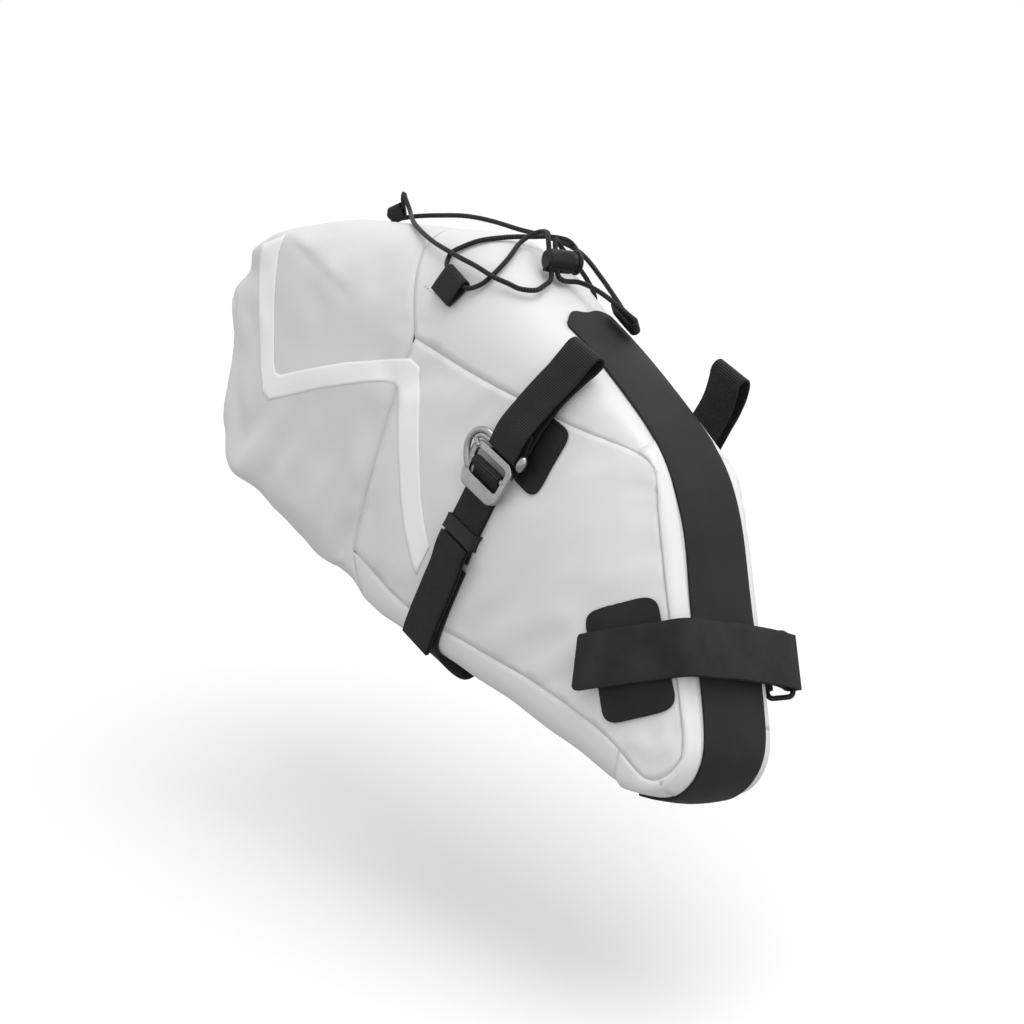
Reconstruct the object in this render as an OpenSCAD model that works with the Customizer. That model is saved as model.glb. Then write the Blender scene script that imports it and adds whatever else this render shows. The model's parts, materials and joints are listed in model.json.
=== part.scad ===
// Saddle bag. +X points to the front of the bicycle, +Y to its left, +Z up along the seat post.
// The origin is the middle of the front face, where the seat post bears, at the post strap.

/* [Bag] */
// Length from the post face to the rear fold
bag_length = 366; // [320:2:420]
// Height from the lowest corner to the rear top
bag_height = 404; // [360:2:450]
// Height of the post strap above the lowest corner
strap_height = 72; // [60:1:84]
// Width across the front seams
front_width = 67; // [60:1:76]
// Width across the top seams where the bag is widest
body_width = 108; // [98:1:120]
// Width across the rear folds
rear_width = 86; // [80:1:94]
// How far each side bulges past its seams
side_bulge = 3; // [1:0.5:6]
// Share of the width that the base seams keep
base_share = 0.88; // [0.82:0.01:0.94]
// Thickness of the coated fabric with its backing
fabric_t = 1; // [0.8:0.1:1.4]

/* [Front strip] */
// Width of the black grip strip
strip_width = 50; // [42:1:56]
// Thickness of the grip strip
strip_t = 1.4; // [1:0.1:2]

/* [Stiffeners] */
// Thickness of the plastic sheets inside
sheet_t = 0.8; // [0.6:0.1:1.2]

/* [Webbing] */
// Width of the rail and belly webbing
web_w = 25; // [20:0.5:26]
// Thickness of the webbing
web_t = 1.4; // [1.2:0.1:1.8]
// Angle at which the side webbing climbs
web_angle = 45; // [40:1:50]

/* [Post strap] */
// Width of the hook-and-loop strap
post_w = 30; // [25:0.5:34]
// Thickness of the hook-and-loop strap
post_t = 1.6; // [1.2:0.1:2]
// Gap between the front face and the strap that closes round the post
post_gap = 5; // [4.5:0.5:8]
// Diameter of the strap ring's bars
ring_bar = 3.5; // [3:0.1:4]

/* [Patches] */
// Thickness of the welded patches
patch_t = 1.2; // [0.8:0.1:1.6]
// Corner radius of the patches
patch_r = 7; // [4:0.5:9]
// Length of the patch under the post strap
strap_patch_l = 40; // [36:1:44]
// Height of the patch under the post strap
strap_patch_h = 58; // [50:1:62]
// Length of the rail patch along the webbing
rail_patch_l = 40; // [34:1:44]
// Width of the rail patch across the webbing
rail_patch_w = 44; // [38:1:48]

/* [Hooks] */
// Height of the hook's frame
hook_l = 27; // [25:0.5:30]
// Thickness of the hook's frame
hook_t = 3; // [2.5:0.1:3.4]
// Width of the bars round the hook's window
hook_rim = 4.5; // [4:0.1:5]
// Diameter of the hook's bar
hook_bar = 4.4; // [4:0.1:5]

/* [Cord] */
// Diameter of the elastic cord
cord_d = 3; // [2.5:0.1:3.2]
// Diameter of the cord lock's barrel
lock_d = 16; // [15:0.5:18]
// Length of the cord lock's barrel
lock_l = 16; // [15:0.5:18]
// Travel of the lock's button
lock_travel = 3; // [2:0.2:3.4]
// Width of the cord tabs
tab_w = 20; // [16:0.5:22]

/* [Roll closure] */
// Outer diameter of the rolled lip
roll_d = 34; // [30:1:36]
// Length of the rolled lip
roll_l = 70; // [60:1:72]
// Width of the closure webbing over the roll
closure_w = 20; // [16:0.5:22]

/* [Hidden] */
$fn = 48;
seam_gap = 0.3;      // between pieces that lie on each other
round_top = 2.4;     // roundness of the top's cross-section, 2 is an ellipse
round_front = 4;     // the same for the front face
round_base = 3;      // the same for the base

function clamp(x, low, high) = max(low, min(high, x));
function unit(v) = v / norm(v);
function knot(p, i) = p[clamp(i, 0, len(p) - 1)];
function spline(p, t) =
    let (s = clamp(t, 0, 1) * (len(p) - 1), i = min(len(p) - 2, floor(s)), f = s - i,
         a = knot(p, i - 1), b = p[i], c = p[i + 1], d = knot(p, i + 2))
    0.5 * (2 * b + (c - a) * f + (2 * a - 5 * b + 4 * c - d) * f ^ 2 + (3 * b - a - 3 * c + d) * f ^ 3);
function smooth(p, n) = [for (i = [0:n]) spline(p, i / n)];
function steps(a, b, n) = [for (i = [0:n]) a + (b - a) * i / n];

// The outline in side view, as shares of length and height, with the half width at each place
half_widths = [front_width / 2, 0.42 * body_width, 0.48 * body_width, body_width / 2,
               0.485 * body_width, 0.55 * rear_width, 0.52 * rear_width, rear_width / 2];
function half_width(x) = spline(half_widths, -x / bag_length);
function outline(share) = [-share[0] * bag_length, share[1] * bag_height - strap_height];
function middle(share) = let (p = outline(share)) [p[0], 0, p[1]];
function placed(x, y, z) = [x / 366 * bag_length, y, (z + 72) / 404 * bag_height - strap_height];
function seam(share) = let (p = outline(share)) [p[0], -share[2] * half_width(p[0]), p[1]];
function middles(list) = [for (s = list) middle(s)];
function seams(list) = [for (s = list) seam(s)];

// Centre line under the corner, up the front face, over the nose and along the top
face = (strip_t + seam_gap) / bag_length;
crown = middles([[.150, .018], [.080, 0], [.015, .028], [face, .104], [face, .252], [.003 + face, .376],
                 [.040, .473], [.128, .601], [.223, .719], [.316, .843], [.451, .896]]);
// The seam beside it: front seam, then top seam
edge = seams([[.120, .064, .97], [.074, .015, 1], [.022, .037, 1], [.016, .104, 1], [.019, .252, 1],
              [.019, .376, 1], [.022, .431, 1], [.137, .498, 1], [.232, .559, 1], [.328, .621, 1],
              [.448, .705, 1]]);
front_corner = 0.6;  // where the side panel's upper front corner lies along that seam
low_corner = 0.2;    // and its lower front corner
bs = base_share;
base_seam = seams([[.022, .037, 1], [.074, .015, 1], [.120, .064, .97], [.210, .136, (1 + bs) / 2],
                   [.342, .215, bs], [.445, .272, bs], [.527, .322, bs], [.669, .438, bs]]);
base_start = 2 / 7;  // where the base panel starts along the base seam
keel = middles([[.150, .018], [.251, .087], [.369, .166], [.470, .230], [.546, .277], [.664, .354]]);
// Lines of the rear sleeve, from the body to the lip that the roll takes up
sleeve_top = middles([[.451, .896], [.571, .939], [.694, .980], [.820, .992], [.918, .965],
                      [.943, .915], [.902, .842]]);
sleeve_side = seams([[.448, .705, 1], [.590, .795, 1], [.680, .874, 1], [.792, .963, 1], [.902, .936, 1],
                     [.952, .898, .98], [.902, .840, .9]]);
sleeve_low = seams([[.669, .438, bs], [.738, .495, .9], [.820, .554, .92], [.902, .611, .95],
                    [.973, .673, .98], [.992, .738, .97], [.902, .814, .9]]);
sleeve_keel = middles([[.664, .354], [.743, .413], [.828, .480], [.907, .542], [.962, .604],
                       [.989, .710], [.902, .811]]);

// A quarter of a rounded cross-section, from the middle c to the seam e
function arch(c, e, u, n) =
    let (s = sin(90 * u) ^ (2 / n), d = 1 - max(cos(90 * u), 0) ^ (2 / n))
    [c[0] + (e[0] - c[0]) * d, e[1] * s, c[2] + (e[2] - c[2]) * d];
function top_round(v) = round_front + (round_top - round_front) * clamp((v - 0.5) / 0.35, 0, 1);
function mirrored(p, side) = [p[0], side * p[1], p[2]];
function top_point(v, u) =
    mirrored(arch(spline(crown, v), spline(edge, v), abs(u), top_round(v)), u > 0 ? -1 : 1);
function base_point(v, u) =
    mirrored(arch(spline(keel, v), spline(base_seam, base_start + (1 - base_start) * v), abs(u),
        round_base),
             u > 0 ? -1 : 1);
function bulge(t, amount) = [0, -amount * sin(180 * t), 0];
function side_point(v, t) =
    let (a = spline(edge, front_corner + (1 - front_corner) * v), b = spline(base_seam, v),
         front = spline(edge, front_corner + (low_corner - front_corner) * t),
         straight = edge[6] + (edge[2] - edge[6]) * t)
    a + (b - a) * t + (front - straight) * (1 - v) ^ 3 + bulge(t, side_bulge * min(1, 3 * v));
function sleeve_half(v, u) =
    let (c = spline(sleeve_top, v), a = spline(sleeve_side, v), b = spline(sleeve_low, v),
         k = spline(sleeve_keel, v), t = u - 1)
    u <= 1 ? arch(c, a, u, round_top)
    : u <= 2 ? a + (b - a) * t + bulge(t, side_bulge * max(0, 1 - 1.1 * v))
    : arch(k, b, 3 - u, round_base);
function sleeve_point(v, u) = u <= 3 ? sleeve_half(v, u) : mirrored(sleeve_half(v, 6 - u), -1);

// Where the side panel lies behind a place in side view: bisect for the ruled line through it, then aim again
function side_edges(v) = [spline(edge, front_corner + (1 - front_corner) * v), spline(base_seam, v)];
function side_v(x, z, low = 0, high = 1, n = 14) =
    n == 0 ? (low + high) / 2
    : let (v = (low + high) / 2, e = side_edges(v), a = e[0], b = e[1],
           turn = (b[0] - a[0]) * (z - a[2]) - (b[2] - a[2]) * (x - a[0]))
      turn > 0 ? side_v(x, z, low, v, n - 1) : side_v(x, z, v, high, n - 1);
function side_found(x, z) =
    let (v = side_v(x, z), e = side_edges(v), a = e[0], d = [e[1][0] - a[0], e[1][2] - a[2]],
         t = clamp(([x - a[0], z - a[2]] * d) / (d * d), 0, 1))
    side_point(v, t);
function side_aim(x, z, ax, az, n) =
    let (p = side_found(ax, az)) n == 0 ? p : side_aim(x, z, ax + x - p[0], az + z - p[2], n - 1);
function side_h(x, z) = -side_aim(x, z, x, z, 5)[1];

// Closed sheets from grids of points, whose normals point out of the bag
function column(g, j, ring) = ring ? (j + len(g[0])) % len(g[0]) : clamp(j, 0, len(g[0]) - 1);
function normal(g, i, j, ring = false) =
    unit(cross(knot(g, i + 1)[j] - knot(g, i - 1)[j], g[i][column(g, j + 1, ring)] - g[i][column(g,
        j - 1, ring)]));
function raised(g, d, ring = false) =
    [for (i = [0:len(g) - 1]) [for (j = [0:len(g[0]) - 1]) g[i][j] + d * normal(g, i, j, ring)]];
function trim_row(r, d) =
    let (n = len(r) - 1)
    [for (i = [0:n]) i == 0 ? r[0] + d * unit(r[1] - r[0]) : i == n ? r[n] +
    d * unit(r[n - 1] - r[n]) : r[i]];
function turned(g) = [for (j = [0:len(g[0]) - 1]) [for (i = [0:len(g) - 1]) g[i][j]]];
function trimmed(g, d) = turned([for (r = turned([for (r = g) trim_row(r, d)])) trim_row(r, d)]);
module sheet(g, t, ring = false) {
    n = len(g);
    m = len(g[0]);
    size = n * m;
    inner = raised(g, -t, ring);
    last = ring ? m - 1 : m - 2;
    function at(i, j) = i * m + j % m;
    function quad(a, b, c, d) = [[a, b, c], [a, c, d]];
    skins = [for (i = [0:n - 2]) for (j = [0:last])
             for (f = concat(quad(at(i, j), at(i, j + 1), at(i + 1, j + 1), at(i + 1, j)),
                             quad(size + at(i, j), size + at(i + 1, j), size + at(i + 1, j + 1),
                                 size + at(i, j + 1))))
             f];
    ends = [for (j = [0:last])
            for (f = concat(quad(at(0, j + 1), at(0, j), size + at(0, j), size + at(0, j + 1)),
                            quad(at(n - 1, j), at(n - 1, j + 1), size + at(n - 1, j + 1), size +
                                at(n - 1, j))))
            f];
    sides = [for (i = [0:n - 2])
             for (f = concat(quad(at(i, 0), at(i + 1, 0), size + at(i + 1, 0), size + at(i, 0)),
                             quad(at(i + 1, m - 1), at(i, m - 1), size + at(i, m - 1), size + at(i +
                                 1, m - 1))))
             f];
    polyhedron([for (r = concat(g, inner)) for (p = r) p], ring ? concat(skins, ends) : concat(skins,
        ends, sides));
}

// Panels of the bag
side_grid = [for (v = steps(0, 1, 14)) [for (t = steps(0, 1, 9)) side_point(v, t)]];
top_grid = [for (v = steps(0, 1, 26)) [for (u = steps(1, -1, 16)) top_point(v, u)]];
base_grid = [for (v = steps(0, 1, 12)) [for (u = steps(-1, 1, 12)) base_point(v, u)]];
sleeve_grid = [for (v = steps(0, 1, 15)) [for (u = [0:1 / 6:5.9]) sleeve_point(v, u)]];
module left() { mirror([0, 1, 0]) children(); }
module side_panel() { color("gainsboro") sheet(trimmed(side_grid, 3 * seam_gap), fabric_t); }
module top_panel() { color("whitesmoke") sheet(trimmed(top_grid, seam_gap), fabric_t); }
module base_panel() { color("gainsboro") sheet(trimmed(base_grid, seam_gap), fabric_t); }
module rear_sleeve() { color("lightgray") sheet(turned([for (r = turned(sleeve_grid)) trim_row(r,
    seam_gap)]), fabric_t, true); }

// A strip of the top panel, y being the distance from its middle
function top_at(v, y) =
    let (c = spline(crown, v), e = spline(edge, v), n = top_round(v),
         a = asin(min(1, abs(y / e[1])) ^ (n / 2)), d = 1 - cos(a) ^ (2 / n))
    [c[0] + (e[0] - c[0]) * d, y, c[2] + (e[2] - c[2]) * d];
// Half the width of a rounded end, p being the share of the rounding that is passed
function end_width(w, r, p) = w / 2 - r + r * sqrt(max(0, 1 - (1 - p) ^ 2));
strip_low = 0.03;
strip_high = 0.805;
strip_rows = concat([strip_low], steps(strip_low + 0.02, strip_high - 0.03, 26),
                    [for (p = [0.55, 0.25, 0.08, 0]) strip_high - 0.03 * p]);
strip_end_r = 14;
function strip_half(v) = end_width(strip_width, strip_end_r, min(1, (strip_high - v) / 0.03));
module grip_strip() {
    rows = [for (v = strip_rows) [for (k = steps(1, -1, 8)) top_at(v, k * strip_half(v))]];
    color([0.13, 0.13, 0.14]) sheet(raised(rows, seam_gap + strip_t), strip_t);
}

// Plastic sheets behind the fabric
sheet_depth = fabric_t + seam_gap + 0.1;
module side_stiffener() {
    rows = [for (v = steps(0.06, 0.9, 10)) [for (t = steps(0.12, 0.88, 6)) side_point(v, t)]];
    color("white") sheet(raised(rows, -sheet_depth), sheet_t);
}
module base_stiffener() {
    rows = [for (v = steps(0.06, 0.94, 8)) [for (u = steps(-0.6, 0.6, 6)) base_point(v, u)]];
    color("white") sheet(raised(rows, -sheet_depth), sheet_t);
}

// Patches on the side: centre in side view, size, and how far the long side leans from upright
function lean(x, z, a) = [x * cos(a) - z * sin(a), x * sin(a) + z * cos(a)];
function on_side(x, z) = [x, -side_h(x, z), z];
module patch(centre, l, h, angle) {
    rows = [for (p = [0, 0.1, 0.4, 1, 1.7, 2.4, 3, 3.6, 3.9, 4])
            let (q = min(p, 4 - p), a = l / 2 - (p <= 1 ? p * patch_r : p >= 3 ? l - (4 - p) * patch_r
                     : patch_r + (p - 1) / 2 * (l - 2 * patch_r)),
                 half = end_width(h, patch_r, min(1, q)))
            [for (b = steps(half, -half, 6)) let (c = centre + lean(a, b, angle)) on_side(c[0], c[1])]];
    color([0.1, 0.1, 0.11]) sheet(raised(rows, seam_gap + patch_t), patch_t);
}
strap_patch_at = [-31, -1];
module strap_patch() { patch(strap_patch_at, strap_patch_l, strap_patch_h, 5); }

// The side webbing has its own frame: s up along it, h out from the bag, w across it
web_foot = outline([0.3033, 0.4579]);
d_s = [cos(web_angle), sin(web_angle)];
d_w = [sin(web_angle), -cos(web_angle)];
function from_web(s, w) = web_foot + s * d_s + w * d_w;
function web_h(s, w = 0) = let (p = from_web(s, w)) side_h(p[0], p[1]);
function under_web(s) = max(web_h(s), web_h(s, -web_w / 2), web_h(s, web_w / 2));
module in_web() {
    multmatrix([[d_s[0], 0, d_w[0], web_foot[0]], [0, -1, 0, 0], [d_s[1], 0, d_w[1], web_foot[1]],
        [0, 0, 0, 1]])
        children();
}
rail_patch_s = 31;
rail_patch_at = from_web(rail_patch_s, 10);
module rail_patch() { patch(rail_patch_at, rail_patch_l, rail_patch_w, web_angle); }

// A strip of constant thickness along a path in its plane
function path_normal(p, i) = let (d = knot(p, i + 1) - knot(p, i - 1)) unit([-d[1], d[0]]);
function ribbon(p, t) = concat([for (i = [0:len(p) - 1]) p[i] + t / 2 * path_normal(p, i)],
                               [for (i = [len(p) - 1:-1:0]) p[i] - t / 2 * path_normal(p, i)]);
function arc(c, r, a, b, n) = [for (k = steps(a, b, n)) c + r * [cos(k), sin(k)]];
module band(path, t, w) { translate([0, 0, -w / 2]) linear_extrude(w) polygon(ribbon(path, t)); }

// Layers of the side webbing, from the bag outwards
keeper_t = 1.2;
keeper_s = -31;
keeper_l = 13;
load_h = under_web(keeper_s) + seam_gap + keeper_t + seam_gap + web_t / 2;  // the layer that pulls
tail_h = load_h + web_t + seam_gap;
frame_h = tail_h + web_t / 2 + 2 * seam_gap;                                   // underside of the hook
window_bar = 3;
bar_r = window_bar / 2 + seam_gap + web_t / 2;  // bend of the webbing round the bar in the window
hook_low = -9;
hook_top = hook_low + hook_l;
window_s = hook_low + hook_rim + 3;
bar_s = window_s + 8;
bar_h = frame_h + hook_t / 2;
reach_r = hook_bar / 2 + seam_gap + web_t / 2;
reach_s = hook_top + reach_r + web_t / 2 + seam_gap;
reach_h = frame_h + hook_t;
hook_w = web_w + 2 * hook_rim + 2;

function sewn_h(s) = under_web(s) + 3 * seam_gap + patch_t + web_t / 2;
sewn_end = 41;
function raised_loop(loop) = [for (p = loop) [p[0], p[1] + sewn_h(sewn_end)]];
function rail_path(loop) =
    concat([for (s = [12, 19, 26, 33, sewn_end]) [s, sewn_h(s)]], smooth(raised_loop(loop), 26),
           [[reach_s + 12, reach_h + reach_r + 0.6]],
           arc([reach_s, reach_h], reach_r, 90, 270, 8), [[reach_s + 9, reach_h - reach_r + 1]]);
// The loops that take the saddle rails, as places along the webbing and heights over its sewn end
right_loop = [[52, -2], [64, -4], [78, -9], [87, -13.7], [92, -15.3], [95.5, -13.7], [96, -10],
              [92, -6.3], [78, -0.9], [62, 3.5], [48, 6.9]];
left_loop = [[52, 1], [64, 5], [84, 7.5], [98, 4.5], [104, 2.1], [108.5, 2.9], [110, 6.5],
             [107, 9.9], [98, 13.1], [84, 15.5], [64, 15.3], [48, 12.5]];
module rail_webbing(loop) { color([0.09, 0.09, 0.1]) in_web() band(rail_path(loop), web_t, web_w); }

module adjuster_webbing() {
    keeper_end = keeper_s - keeper_l / 2;
    tail = [[keeper_end - 22, tail_h - 0.8], [-103, tail_h - 2.6]];
    path = concat([[-48, under_web(-48) + 1.1 * web_t], [keeper_end, load_h], [keeper_s, load_h],
                   [keeper_s + keeper_l, load_h], [0, load_h]],
                  arc([bar_s, bar_h], bar_r, -80, 100, 8),
                  [[window_s + 0.6, tail_h + 0.3], [window_s - 1.5, tail_h], [keeper_s + keeper_l,
                  tail_h], [keeper_s, tail_h], [keeper_end, tail_h]],
                  tail, arc([-105, tail_h - 0.8], 1.7, 270, 90, 6),
                  [[-100, tail_h + 1], [keeper_end - 20, tail_h + 2], [keeper_end - 2, tail_h + 2.4]]);
    color([0.09, 0.09, 0.1]) in_web() band(path, web_t, web_w);
}

module rounded_plate(l, w, r) {
    square([l - 2 * r, w], center = true);
    square([l, w - 2 * r], center = true);
    for (a = [-1, 1], b = [-1, 1]) translate([a * (l / 2 - r), b * (w / 2 - r)]) circle(r);
}
module hook() {
    window_l = hook_top - hook_rim - window_s;
    arm = hook_rim + 0.6;
    color("silver") in_web() {
        difference() {
            translate([hook_low + hook_l / 2, frame_h + hook_t, 0]) rotate([90, 0,
                0]) linear_extrude(hook_t)
                rounded_plate(hook_l, hook_w, 6);
            translate([window_s, frame_h - 1, -web_w / 2 - 1]) cube([window_l, hook_t + 2, web_w + 2]);
        }
        translate([bar_s, bar_h, -web_w / 2 - 2]) cylinder(h = web_w + 4, d = window_bar);
        translate([reach_s, reach_h, -hook_w / 2]) cylinder(h = hook_w, d = hook_bar);
        translate([hook_top - 9, frame_h, -hook_w / 2]) cube([reach_s - hook_top + 9, hook_t, arm]);
    }
}
module keeper() {
    low = load_h - web_t / 2 - seam_gap - keeper_t;
    high = tail_h + web_t / 2 + seam_gap + keeper_t;
    wide = web_w + 2 * seam_gap;
    color([0.08, 0.08, 0.08]) in_web() difference() {
        translate([keeper_s - keeper_l / 2 + 0.5, low, -wide / 2 - keeper_t])
            cube([keeper_l - 1, high - low, wide + 2 * keeper_t]);
        translate([keeper_s - keeper_l, low + keeper_t, -wide / 2])
            cube([2 * keeper_l, high - low - 2 * keeper_t, wide]);
    }
}

// The belly strap follows the side down, turns round the base seam and crosses under the bag
function off_web(p) = [p[0] - web_foot[0], p[2] - web_foot[1]] * d_w;
function base_v(u, w, low = 0, high = 1, n = 14) =
    let (v = (low + high) / 2)
    n == 0 ? v : off_web(base_point(v, u)) > w ? base_v(u, w, v, high, n - 1) : base_v(u, w, low, v,
        n - 1);
function seam_s(w) = let (p = base_point(base_v(-1, w), -1)) [p[0] - web_foot[0],
    p[2] - web_foot[1]] * d_s;
function belly_side(k, w) = let (s = -53 + (seam_s(w) + 53) * k, p = from_web(s, w)) on_side(p[0], p[1]);
module belly_strap() {
    widths = steps(-web_w / 2, web_w / 2, 4);
    right = [for (k = [0, 0.33, 0.66, 0.94]) [for (w = widths) belly_side(k, w)]];
    under = [for (u = steps(-0.97, 0.97, 18)) [for (w = widths) base_point(base_v(u, w), u)]];
    away = [for (k = [3:-1:0]) [for (p = right[k]) mirrored(p, -1)]];
    color([0.09, 0.09, 0.1]) sheet(raised(concat(right, under, away), seam_gap + web_t), web_t);
}

// Post strap, seen from above
ring_pin = [-10, 42.6];     // the ring's bar in its anchor
ring_end = [2, 54];        // the bar that the strap turns round
ring_turn = ring_bar / 2 + 2.4 + post_t / 2;
post_x = post_gap + post_t / 2;
tail_turn = ring_turn + post_t + seam_gap;
tail_x = ring_end[0] + tail_turn;
function beside(x) = max(side_h(x, 0), side_h(x, post_w / 2), side_h(x, -post_w / 2));
function inner_y(x) = beside(x) + 2 * seam_gap + patch_t + post_t / 2;
function outer_y(x) = inner_y(x) + post_t + 2 * seam_gap;
half_front = front_width / 2;
module post_strap() {
    path = concat([for (x = [-48, -38, -28, -18, -8]) [x, -inner_y(x)]],
                  smooth([[-2, -half_front - 2.6], [post_x - 2.4, -half_front + 1.4], [post_x,
                      -half_front + 7]], 6),
                  [[post_x, 0], [post_x, 30]], arc(ring_end, ring_turn, 200, 36, 10));
    color([0.12, 0.12, 0.13]) band(path, post_t, post_w);
}
module post_strap_tail() {
    path = concat(arc(ring_end, tail_turn, 60, 0, 4), [[tail_x, 44], [tail_x, 0]],
                  smooth([[tail_x, -half_front + 6], [tail_x - 2, -half_front], [tail_x - 8,
                      -half_front - 4.4]], 6),
                  [for (x = [-8, -18, -28, -38, -48]) [x, -outer_y(x)]], [[-62, -outer_y(-48) - 3]]);
    color([0.12, 0.12, 0.13]) band(path, post_t, post_w);
}
module ring_anchor() {
    turn_r = ring_bar / 2 + seam_gap + web_t / 2;
    path = concat([for (x = [-46, -36, -26]) [x, inner_y(x)]], [[-18, inner_y(-18)]],
                  arc(ring_pin, turn_r, 280, 440, 8), [[-18, ring_pin[1] + turn_r + 0.4], [-27,
                      inner_y(-26) + 2.4],
                   [-36, inner_y(-36) + 2]]);
    color([0.12, 0.12, 0.13]) band(path, web_t, post_w - 2);
}
module strap_ring() {
    tall = post_w + 8;
    span = ring_end - ring_pin;
    color([0.1, 0.1, 0.1]) translate([ring_pin[0], ring_pin[1], 0]) rotate([0, 0, atan2(span[1],
        span[0])]) {
        for (x = [0, norm(span)]) translate([x, 0, -tall / 2]) cylinder(h = tall, d = ring_bar);
        for (z = [-tall / 2, tall / 2]) {
            translate([0, 0, z]) rotate([0, 90, 0]) cylinder(h = norm(span), d = ring_bar);
            for (x = [0, norm(span)]) translate([x, 0, z]) sphere(d = ring_bar);
        }
    }
}

// Cord tabs: a webbing loop that is sewn down at its root and holds the cord in its bend
tab_eye_r = cord_d / 2 + 0.5;
module tab(root, eye, side, w = tab_w) {
    along = unit(eye - root);
    across = unit(side - (side * along) * along);
    up = cross(along, across);
    long = norm(eye - root);
    turn_r = tab_eye_r + web_t / 2;
    path = concat([[0, -turn_r + 1.1], [long * 0.5, -turn_r + 0.4]], arc([long, 0], turn_r, -80, 80, 8),
                  [[long * 0.5, turn_r - 1.2], [0, web_t + seam_gap - turn_r + 1.1]]);
    m = [for (k = [0:2]) [along[k], up[k], -across[k], root[k]]];
    color([0.1, 0.1, 0.1]) multmatrix([m[0], m[1], m[2], [0, 0, 0, 1]]) band(path, web_t, w);
}
side_tab_root = placed(-138.9, -52.8, 230.8);
side_tab_eye = placed(-127.8, -49.5, 240.3);
side_tab_across = [0.66, -0.07, -0.75];
rear_tab_root = placed(-238, 3, 322);
rear_tab_eye = placed(-238, 0, 330);
front_tab_root = placed(-82, 15.5, 229);
front_tab_eye = placed(-63, 20, 208);
front_tab_across = [0.557, -0.757, 0.342];
small_tab_w = 0.7 * tab_w;   // the front and rear tabs are narrower

// Elastic cord: two stretches that meet inside the lock's two bores
lock_at = placed(-85, -10, 243);
lock_axis = 75;             // direction of the button in plan
lock_along = [cos(lock_axis), sin(lock_axis)];
bore_d = cord_d + 0.8;
bore_1 = 2.4 - lock_l / 2;  // the bores' places along the barrel
bore_2 = bore_1 + cord_d + 1.4;
function bore(k, h) = [lock_at[0] + k * lock_along[0], lock_at[1] + k * lock_along[1], lock_at[2] + h];
function beyond(eye, across, d) = eye + d * unit(across);
cord_a = [bore(bore_1, -2), bore(bore_1, -9), placed(-85.6, -18, 229.5), placed(-85, -23, 226),
          placed(-84, -32, 221), placed(-90, -38.5, 222.5), placed(-96, -41.5, 227),
          placed(-103.2, -45.8, 232.5), placed(-116, -46.5, 243), placed(-131, -46.5, 254),
          placed(-154, -42.5, 271), placed(-177, -32, 289), placed(-194, -20, 302),
          placed(-209, -8, 314), placed(-217, -4, 322), placed(-221, -1, 332), placed(-224, 0, 336),
          placed(-227, 0, 334.5), beyond(rear_tab_eye, [1, 0, 0], 8.5) + [0, 0, 1],
          beyond(rear_tab_eye, [1, 0, 0], 5), beyond(rear_tab_eye, [1, 0, 0], -3),
          beyond(rear_tab_eye, [1, 0, 0], -9.5), placed(-251.5, 3.5, 329), placed(-250, 7.5, 327),
          placed(-242, 8.5, 326), placed(-221, 8.5, 319.5), placed(-202, 11, 314),
          placed(-181, 13, 307), placed(-160, 14, 297), placed(-139, 16, 285), placed(-117, 20, 273),
          placed(-99, 24, 259), placed(-88, 28, 241), placed(-76, 31, 221), placed(-70, 29.5, 208),
          beyond(front_tab_eye, front_tab_across, -7), front_tab_eye,
          beyond(front_tab_eye, front_tab_across, 7), placed(-59.5, 9, 213.5),
          placed(-66.5, 5.5, 221), placed(-75.5, 5, 228), placed(-82.5, 3, 231.5),
          placed(-86.5, -1, 232.5), placed(-86, -7, 232), bore(bore_2, -9), bore(bore_2, -2)];
cord_b = [bore(bore_1, 2), bore(bore_1, 9.5), placed(-87.5, -14, 257), placed(-91, -10.5, 262),
          placed(-98, -8.5, 265.5), placed(-104, -11.5, 264.5), placed(-106.5, -18.5, 259),
          placed(-104, -32, 246), placed(-107.5, -42, 235.5), placed(-113, -47, 230.5),
          beyond(side_tab_eye, side_tab_across, 12), side_tab_eye,
          beyond(side_tab_eye, side_tab_across, -12), placed(-139.5, -45.5, 254.5),
          placed(-139, -42, 259.5), placed(-134.5, -38, 264), placed(-125, -31, 268),
          placed(-114, -18, 270), placed(-108, -6, 271.5), placed(-103, 5, 273), placed(-102, 19, 272),
          placed(-109, 34, 266), placed(-127, 40.5, 263.5), placed(-137, 43.5, 259),
          placed(-139.5, 46, 254.5), mirrored(beyond(side_tab_eye, side_tab_across, -12), -1),
          mirrored(side_tab_eye, -1), mirrored(beyond(side_tab_eye, side_tab_across, 12), -1),
          placed(-113, 47.5, 231.5), placed(-106, 40.5, 238), placed(-100, 28, 244.5),
          placed(-94.5, 14, 249), placed(-90, 0, 253.5), placed(-86.5, -8.5, 256.5),
          bore(bore_2, 9.5), bore(bore_2, 2)];
cord_sides = 8;
// Frames are carried along the cord so that its sides don't twist
function carried(p, i, last) =
    i == len(p) ? []
    : let (d = unit(knot(p, i + 1) - knot(p, i - 1)), n = unit(last - (last * d) * d)) concat([n],
        carried(p, i + 1, n));
module tube(p, d) {
    n = len(p);
    s = cord_sides;
    ups = carried(p, 0, [0, 1, 0.3]);
    points = [for (i = [0:n - 1]) let (a = ups[i], b = cross(unit(knot(p, i + 1) - knot(p, i - 1)), a))
              for (k = [0:s - 1]) p[i] + d / 2 * (cos(360 * k / s) * a + sin(360 * k / s) * b)];
    wall = [for (i = [0:n - 2]) for (k = [0:s - 1])
            for (f = [[i * s + k, (i + 1) * s + (k + 1) % s, i * s + (k + 1) % s],
                      [i * s + k, (i + 1) * s + k, (i + 1) * s + (k + 1) % s]]) f];
    polyhedron(points, concat(wall, [[for (k = [0:s - 1]) k]], [[for (k = [s - 1:-1:0]) (n - 1) * s +
        k]]));
}
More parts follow.
